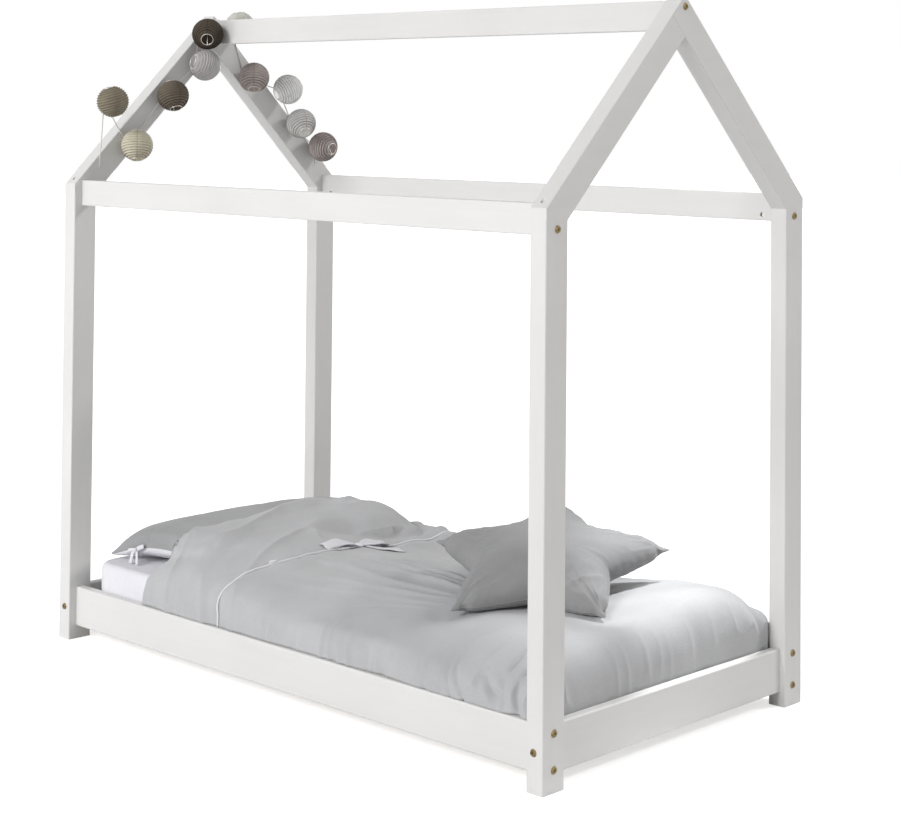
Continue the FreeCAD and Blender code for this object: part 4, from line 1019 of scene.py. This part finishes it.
# the pillow's tapes as (points, width as a side vector)
TAPES = {
    "pillow_tie_left": ([TIE_KNOT, (-0.606, -0.3035, 0.2070), (-0.620, -0.3025, 0.2035)], (0.003, 0, 0.0098)),
    "pillow_tie_right": ([TIE_KNOT, (-0.580, -0.3010, 0.2150), (-0.566, -0.2985, 0.2205)],
                         (-0.003, 0, 0.0098)),
    "pillow_tail_left": ([TIE_KNOT, (-0.598, -0.3060, 0.2030), (-0.596, -0.3130, TAIL_END)],
                         (0.0102, 0.001, 0)),
    "pillow_tail_right": ([TIE_KNOT, (-0.582, -0.3060, 0.2030), (-0.573, -0.3120, TAIL_END)],
                          (0.0102, -0.001, 0)),
}
TIE_KNOT_WAY = [(-0.5945, -0.3020, 0.2050), (-0.5915, -0.3035, 0.2085), (-0.5885, -0.3020, 0.2120)]
TIE_KNOT_RADIUS = 0.0032
TAB_ENDS = [(-0.1785, -0.2500), (-0.1735, -0.2390)]
TAB_LIFT = 0.0045
TAB_RADIUS = 0.0036


def make_piping():
    line = []
    for column in range(COLUMN_COUNT):
        way = duvet_grid[:, column]
        row = int(np.argmin(np.abs(way[:, 0] - listed(PIPING_WAY, way[:, 1]))))
        line.append(way[row] + duvet_normal[row, column] * PIPING_LIFT)
    line = spaced(line, PIPING_POINTS)
    for _ in range(6):
        line[1:-1] = (line[:-2] + line[1:-1] * 2 + line[2:]) / 4
    carry(tube("duvet_piping", line, PIPING_RADIUS, SHEET_CLOTH))


def ribbon(name, centre, width, lift, rise):
    """A flat ribbon laid along (x, y) points of the duvet, narrow where it leaves the knot."""
    line = spaced(centre, RIBBON_POINTS)
    direction = np.gradient(line, axis=0)
    direction /= np.linalg.norm(direction, axis=1, keepdims=True)
    side = at(-direction[:, 1], direction[:, 0])
    points = []
    for number, spot in enumerate(line):
        share = number / (len(line) - 1)
        wide = (RIBBON_START + (1 - RIBBON_START) * min(1.0, share * 2.6)) * width
        for part in (-1, -0.5, 0, 0.5, 1):
            place = spot + side[number] * wide / 2 * part
            curl = RIBBON_CURL * math.sin(part * 4 + share * 9)
            bulge = lift + rise * math.sin(math.pi * share) + curl
            points.append(on_duvet(*place, RIBBON_LIFT + max(bulge, 0)))
    piece = add_mesh(name, points, grid_faces(len(line), 5), SHEET_CLOTH)
    thicken(piece, TAPE_THICKNESS)
    return piece


def make_bow():
    """A flat bow of white tape tied over the piping: two loops, a knot and two tails."""
    for name, (way, lift, rise, width) in BOW_WINGS.items():
        piece = ribbon(name, [(BOW_X + x, BOW_Y + y) for x, y in way], width, lift, rise)
        carry(piece)
    knot = []
    spot = on_duvet(BOW_X, BOW_Y, KNOT_LIFT)
    for ring in range(KNOT_RINGS):
        angle = math.pi * ring / (KNOT_RINGS - 1)
        radius = KNOT_RADIUS * math.sin(angle) + KNOT_END
        for part in range(KNOT_POINTS):
            turn = 2 * math.pi * part / KNOT_POINTS
            knot.append(spot + Vector((-KNOT_HALF * math.cos(angle), radius * math.cos(turn),
                                       radius * KNOT_FLATNESS * math.sin(turn))))
    faces = grid_faces(KNOT_RINGS, KNOT_POINTS, wrap=True)
    carry(add_mesh("bow_knot", knot, faces, SHEET_CLOTH))


def make_tapes():
    """The white tapes that close the pillow's near end, tied in a small bow."""
    for name, (points, side) in TAPES.items():
        line = spaced(points, TAPE_POINTS)
        side = np.array(side, float)
        spots = [spot + side * part for spot in line for part in (-0.5, 0, 0.5)]
        piece = add_mesh(name, spots, grid_faces(len(line), 3), SHEET_CLOTH)
        thicken(piece, TAPE_THICKNESS)
        carry(piece)
    carry(tube("pillow_tie_knot", TIE_KNOT_WAY, TIE_KNOT_RADIUS, SHEET_CLOTH))


def make_tab():
    """A small tab on the piping."""
    ends = [on_duvet(x, y, TAB_LIFT) for x, y in TAB_ENDS]
    carry(tube("piping_tab", ends, TAB_RADIUS, SHEET_CLOTH))


make_piping()
make_bow()
make_tapes()
make_tab()


# ------------------------------------------------------------ star cushion

STAR_HALF = 0.058
STAR_BELLY = 0.034
STAR_WAVE = 0.0030
STAR_RINGS = 40
STAR_TIP_REACH = 1.025      # the tips are drawn out where the seams meet
STAR_NOTCH = 0.70
STAR_SIDE_POINTS = 34
STAR_SIDE_BOW = 0.016
PINCH_DEPTH = 0.0075        # the pinch behind each tip, and its distance from the tip
PINCH_PLACE = 0.027
PINCH_WIDTH = 0.011
RAY_DEPTH = 0.0066
BAR_PLACE = 0.105
BAR_DEPTHS = (0.0028, 0.0028, 0.0055, 0.0055, 0.0028)
STAR_GAP = 0.0026
STAR_UNDER_GAP = 0.0008
SEAM_RADIUS = 0.0011


def star_frame():
    """The star's centre, and its directions across, along and up as rows."""
    tips = np.array(STAR_TIPS)
    centre = tips.mean(axis=0)
    _, _, axes = np.linalg.svd(tips - centre)
    up = axes[2] if axes[2][2] > 0 else -axes[2]
    across = np.array([1.0, 0, 0]) - up * up[0]
    across /= np.linalg.norm(across)
    return centre, np.array([across, np.cross(up, across), up])


def star_outline(tips):
    """The seam from the tips: sides that pull in to the notches, with a pinch behind each tip."""
    centre = tips.mean(axis=0)
    tips = centre + (tips - centre) * STAR_TIP_REACH
    corners = []
    for tip, after in zip(tips, np.roll(tips, -1, axis=0)):
        corners += [tip, centre + ((tip + after) / 2 - centre) * STAR_NOTCH]
    points = []
    for number, start in enumerate(corners):
        goal = corners[(number + 1) % len(corners)]
        side = goal - start
        normal = np.array([-side[1], side[0]])
        outward_sign = 1 if np.dot(normal, (start + goal) / 2 - centre) > 0 else -1
        for step in range(STAR_SIDE_POINTS):
            share = step / STAR_SIDE_POINTS
            away = (share if number % 2 == 0 else 1 - share) * np.linalg.norm(side)
            pinch = PINCH_DEPTH * math.exp(-((away - PINCH_PLACE) / PINCH_WIDTH) ** 2)
            bow = STAR_SIDE_BOW * math.sin(math.pi * share) * np.linalg.norm(side) - pinch
            points.append(start + side * share + normal / np.linalg.norm(normal) * bow * outward_sign)
    return np.array(points)


def tip_wrinkles(flat, tips):
    """Ridges that run out of each tip of the star, and across its arms, over flat points."""
    total = np.zeros(len(flat))
    for number, tip in enumerate(tips):
        away = flat - tip
        reach = np.linalg.norm(away, axis=1)
        inward = -tip / np.linalg.norm(tip)
        along_arm = away @ inward
        over_arm = away @ np.array([-inward[1], inward[0]])
        rays = ridges(131, np.arctan2(over_arm, along_arm) * 5.5 + number * 7.3, reach * 9)
        total += (rays ** 3 - 0.25) * RAY_DEPTH * smooth_step(reach, 0.006, 0.030) * hump(reach, 0.085)
        bars = ridges(137, along_arm * 34 + number * 5.1, over_arm * 9)
        band = hump(along_arm - BAR_PLACE, 0.045) * hump(over_arm, 0.07)
        total += (bars ** 3 - 0.2) * BAR_DEPTHS[number] * band
    return total


def lifted_off(points, gaps):
    """Points raised to a gap over the duvet at least."""
    for spot, gap in zip(points, gaps):
        spot[2] = max(spot[2], on_duvet(spot[0], spot[1])[2] + gap)
    return points


def make_star():
    centre, axes = star_frame()
    tips = (np.array(STAR_TIPS) - centre) @ axes[:2].T
    outline = star_outline(tips)
    points, faces = stuffed_mesh(outline, STAR_RINGS, STAR_HALF, STAR_BELLY, pucker=0.008, seed=57)
    waves = layered(points[:, :2] * 13, 77) * STAR_WAVE
    waves = waves + tip_wrinkles(points[:, :2], tips * STAR_TIP_REACH)
    points[:, 2] += waves * out_share(points, full=0.022)
    placed = centre + points[:, :1] * axes[0] + points[:, 1:2] * axes[1] + points[:, 2:] * axes[2]
    upper_count = STAR_RINGS * len(outline)
    gaps = [STAR_GAP if number < upper_count else STAR_UNDER_GAP for number in range(len(placed))]
    piece = add_mesh("star_cushion_cover", lifted_off(placed, gaps), faces, STAR_CLOTH)
    stuff(piece, node="star_cushion")
    seam = centre + np.column_stack([outline, np.zeros(len(outline))]) @ axes
    seam = lifted_off(seam, [STAR_GAP] * len(seam))
    seam_tube = tube("star_seam", np.concatenate([seam, seam[:1]]), SEAM_RADIUS, STAR_CLOTH, 2)
    carry(seam_tube)


make_star()


# ------------------------------------------------------------ paper lanterns

# each lantern's paper tone, and where its mouth points as shares of right, up and to the camera
LANTERNS = [
    ((0.27, 0.235, 0.175), (0.25, -0.9, -0.1)), ((0.60, 0.57, 0.46), (0.05, -0.95, 0.3)),
    ((0.18, 0.15, 0.115), (0.25, -0.85, 0.35)), ((0.58, 0.56, 0.56), (0.7, -0.25, -0.5)),
    ((0.095, 0.076, 0.058), (0.1, -0.4, 0.9)), ((0.66, 0.66, 0.62), (0.1, -1, 0.1)),
    ((0.47, 0.42, 0.40), (0.05, -0.85, 0.5)), ((0.84, 0.84, 0.83), (-0.75, -0.35, 0.45)),
    ((0.68, 0.67, 0.66), (0.35, -0.6, 0.65)), ((0.46, 0.41, 0.395), (0.72, -0.12, 0.62)),
]
LANTERN_FULLER = 1.06       # the paper stands out a little beyond the plain globes
LANTERN_RADIUS = (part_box("lanterns")[1][0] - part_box("lanterns")[0][0]) / 2 * LANTERN_FULLER
LANTERN_FORWARD = np.array(Vector((0.0030, -0.0030, 0.0010)))
LANTERN_SQUASH = 0.97       # height over width
MOUTH_ANGLE = math.radians(22)
MOUTH_RADIUS = LANTERN_RADIUS * math.sin(MOUTH_ANGLE)
MOUTH_LEVEL = LANTERN_RADIUS * math.cos(MOUTH_ANGLE) * LANTERN_SQUASH
LANTERN_RIBS = 14
RIB_ROWS = 6
LANTERN_COLUMNS = 44
RIB_DEPTH = 0.062           # as a share of the radius, as the crinkles are
CRINKLE_DEPTH = 0.006
PAPER_THICKNESS = 0.0006
# painted shade along each wire hoop of the lanterns
HOOP_SHADE_TONE = (0.50, 0.48, 0.46)
GLUE_TONE = (0.62, 0.60, 0.58)
# strength of the painted glow on the paper's inner side, standing in for light through the paper
INNER_PAINTED_GLOW = 0.20
SEE_THROUGH = 0.22
HOOP_POINTS = 25
HOOP_RADIUS = 0.0008
STRUT_RADIUS = 0.0010
STRUT_SHARES = np.array((-1, -0.2, 0.2, 1))
STRUT_DEPTHS = np.array((0, 0.010, 0.010, 0))


def ribbed_paper(name, tone, middle, turn):
    """Thin paper glued over wire hoops: a mottled tone, painted shade in dark lines at the hoops, a glued
    seam, and a painted glow on its inner side.
    """
    shader = Shader(name, roughness=0.75, specular=0.3)
    light = tuple(min(part * 1.25, 1) for part in tone)
    away = shader.vectors("SUBTRACT", shader.place, tuple(middle))
    side, front, up = (shader.vectors("DOT_PRODUCT", away, tuple(turn[:, axis] / LANTERN_RADIUS))
                       for axis in range(3))
    angle = shader.math("ARCCOSINE", shader.math("DIVIDE", up, LANTERN_SQUASH))
    from_mouth = shader.math("SUBTRACT", angle, MOUTH_ANGLE)
    ribs = shader.math("MULTIPLY", from_mouth, LANTERN_RIBS / (math.pi - 2 * MOUTH_ANGLE))
    seam = shader.math("ADD", shader.math("ABSOLUTE", front), shader.math("LESS_THAN", side))
    paper = shader.ramp(shader.noise(55.0, 4.0), 0.3, 0.7, tone, light)
    # dark lines at the hoops: painted shade under each wire
    hoop_shade = shader.ramp(shader.math("PINGPONG", ribs, 0.5), 0.03, 0.17, HOOP_SHADE_TONE, WHITE)
    glue = shader.ramp(seam, 0.012, 0.035, GLUE_TONE, WHITE)
    shader.colour(shader.mix("MULTIPLY", 1.0, shader.mix("MULTIPLY", 1.0, paper, hoop_shade), glue))
    shader.roughness(shader.noise(160.0, 2.0), 0.65, 0.85)
    shader.bump(shader.noise(260.0), distance=0.0003, strength=0.5)
    # the paper's inner side glows: painted light, as if light came through the paper
    normal = shader.node("ShaderNodeNewGeometry").outputs["Normal"]
    inner = shader.math("LESS_THAN", shader.vectors("DOT_PRODUCT", away, normal))
    painted_glow = shader.math("MULTIPLY", inner, INNER_PAINTED_GLOW)
    shader.set({"Emission Color": light, "Emission Strength": painted_glow})
    through = shader.node("ShaderNodeBsdfTranslucent", {"Color": light})
    blend = shader.node("ShaderNodeMixShader", {
        "Fac": SEE_THROUGH, 1: shader.surface.outputs["BSDF"], 2: through.outputs["BSDF"]})
    output = next(node for node in shader.tree.nodes if node.type == "OUTPUT_MATERIAL")
    feed(shader.tree, output, {"Surface": blend.outputs["Shader"]})
    return shader.material


def lantern_middles():
    """Middles of the lanterns, from the separate shells of their node, in order from near to far."""
    mesh = nodes["lanterns"].data
    turned = nodes["lanterns"].matrix_world
    parent = list(range(len(mesh.vertices)))

    def root(number):
        while parent[number] != number:
            parent[number] = parent[parent[number]]
            number = parent[number]
        return number

    spots = {}
    for number, vertex in enumerate(mesh.vertices):
        key = tuple(round(part, 6) for part in vertex.co)
        parent[number] = spots.setdefault(key, number)
    for edge in mesh.edges:
        parent[root(edge.vertices[0])] = root(edge.vertices[1])
    shells = {}
    for number, vertex in enumerate(mesh.vertices):
        shells.setdefault(root(number), []).append(tuple(turned @ vertex.co))
    middles = [(np.min(shell, axis=0) + np.max(shell, axis=0)) / 2 for shell in shells.values()]
    return sorted(middles, key=lambda spot: (spot[1], spot[2]))


def lantern_points(seed):
    """Rings from one mouth of a lantern to the other, with a hoop under the paper at each rib."""
    rows = LANTERN_RIBS * RIB_ROWS
    points = []
    for row in range(rows + 1):
        angle = MOUTH_ANGLE + (math.pi - 2 * MOUTH_ANGLE) * (row / rows)
        hoop = abs(math.sin(math.pi * row / RIB_ROWS)) ** 0.8
        for part in range(LANTERN_COLUMNS):
            turn = 2 * math.pi * part / LANTERN_COLUMNS
            crinkle = CRINKLE_DEPTH * value_noise(np.array([[turn * 3, row * 0.7]]), seed)[0]
            out = LANTERN_RADIUS * (1 - RIB_DEPTH * hoop + crinkle * hoop)
            points.append((out * math.sin(angle) * math.cos(turn), out * math.sin(angle) * math.sin(turn),
                           out * math.cos(angle) * LANTERN_SQUASH))
    return np.array(points), rows + 1


def leaning(lean):
    """A turn that brings +Z to a direction given by the photograph's own axes."""
    way = scene.camera.matrix_world.to_3x3() @ Vector(lean)
    return np.array(way.normalized().to_track_quat("Z", "X").to_matrix())


def make_lantern(number, middle, tone, lean):
    """A paper globe with wire rings at its mouths and a bent strut across the lower one."""
    points, rows = lantern_points(number)
    turn = leaning(lean)
    faces = grid_faces(rows, LANTERN_COLUMNS, wrap=True, flip=True)
    paper = ribbed_paper("lantern_paper_%d" % number, tone, middle, turn)
    piece = add_mesh("lantern_globe_%d" % number, points @ turn.T + middle, faces, paper)
    thicken(piece, PAPER_THICKNESS, -1)
    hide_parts("lanterns")
    carry(piece)
    angles = np.linspace(0, 2 * math.pi, HOOP_POINTS)
    level = np.full_like(angles, MOUTH_LEVEL)
    mouth = at(MOUTH_RADIUS * np.cos(angles), MOUTH_RADIUS * np.sin(angles), level)
    strut = at(MOUTH_RADIUS * STRUT_SHARES, np.zeros(4), MOUTH_LEVEL - STRUT_DEPTHS)
    for name, line, radius in (("mouth", mouth, HOOP_RADIUS), ("crown", mouth * (1, 1, -1), HOOP_RADIUS),
                               ("strut", strut, STRUT_RADIUS)):
        wire = tube("lantern_%s_%d" % (name, number), line @ turn.T + middle, radius, WIRE_METAL, 2)
        carry(wire)


for lantern, (place, (paper_tone, paper_lean)) in enumerate(zip(lantern_middles(), LANTERNS), 1):
    make_lantern(lantern, place + LANTERN_FORWARD, paper_tone, paper_lean)


# ------------------------------------------------------------ floor and light

FLOOR_REACH = 30
FLOOR_TONE = (0.88, 0.88, 0.88)
FLOOR_LIFT = 0.62           # light the floor shows the camera beyond what falls on it
FILL_TONE = (0.97, 0.98, 1.0)
FILL_STRENGTH = 0.34
BED_MIDDLE = (0, 0, 0)
# name, kind, place, target, power, colour and what shapes each light
LIGHTS = [
    ("key_light", "SUN", (0.0, -1.0, 0.55), BED_MIDDLE, 1.85, (1.0, 0.995, 0.99),
     {"angle": math.radians(26)}),
    ("window_light", "SUN", (0.43, 0.56, 0.46), BED_MIDDLE, 1.12, (1.0, 0.985, 0.965),
     {"angle": math.radians(9)}),
    ("head_light", "AREA", (-1.3, -2.6, 0.9), (-0.5, -0.4, 0.3), 14, (0.97, 0.98, 1.0), {"size": 1.2}),
    ("foot_light", "SPOT", (0.50, 1.15, 2.3), (0.63, 0.10, 0.2), 300, (0.98, 0.99, 1.0),
     {"spot_size": math.radians(19), "spot_blend": 1.0, "shadow_soft_size": 0.12}),
]


def make_floor():
    shader = Shader("studio_floor", roughness=0.9, specular=0.1)
    rays = shader.node("ShaderNodeLightPath")
    lift = shader.math("MULTIPLY", rays.outputs["Is Camera Ray"], FLOOR_LIFT)
    shader.set({"Base Color": FLOOR_TONE, "Emission Color": WHITE, "Emission Strength": lift})
    corners = [(x * FLOOR_REACH, y * FLOOR_REACH, 0) for x, y in ((-1, -1), (1, -1), (1, 1), (-1, 1))]
    add_mesh("studio_floor", corners, [(0, 1, 2, 3)], shader.material)


def make_world():
    """Even fill light, that the camera and reflections see as plain white."""
    world = bpy.data.worlds.new("studio")
    scene.world = world
    world.use_nodes = True
    tree = world.node_tree
    tree.nodes.clear()
    rays = add_node(tree, "ShaderNodeLightPath").outputs
    seen = add_node(tree, "ShaderNodeMath", {0: rays["Is Camera Ray"], 1: rays["Is Glossy Ray"]},
                    operation="MAXIMUM")
    fill = add_node(tree, "ShaderNodeBackground", {"Color": FILL_TONE, "Strength": FILL_STRENGTH})
    white = add_node(tree, "ShaderNodeBackground", {"Color": WHITE, "Strength": 1.0})
    mix = add_node(tree, "ShaderNodeMixShader", {
        "Fac": seen.outputs["Value"], 1: fill.outputs["Background"], 2: white.outputs["Background"]})
    add_node(tree, "ShaderNodeOutputWorld", {"Surface": mix.outputs["Shader"]})


def make_light(name, kind, place, target, power, colour, shape):
    data = bpy.data.lights.new(name, kind)
    data.energy = power
    data.color = colour
    for key, value in shape.items():
        setattr(data, key, value)
    light = bpy.data.objects.new(name, data)
    scene.collection.objects.link(light)
    light.location = place
    light.rotation_euler = (Vector(target) - Vector(place)).to_track_quat("-Z", "Y").to_euler()


make_floor()
for light_row in LIGHTS:
    make_light(*light_row)
make_world()

scene.view_settings.view_transform = "Standard"
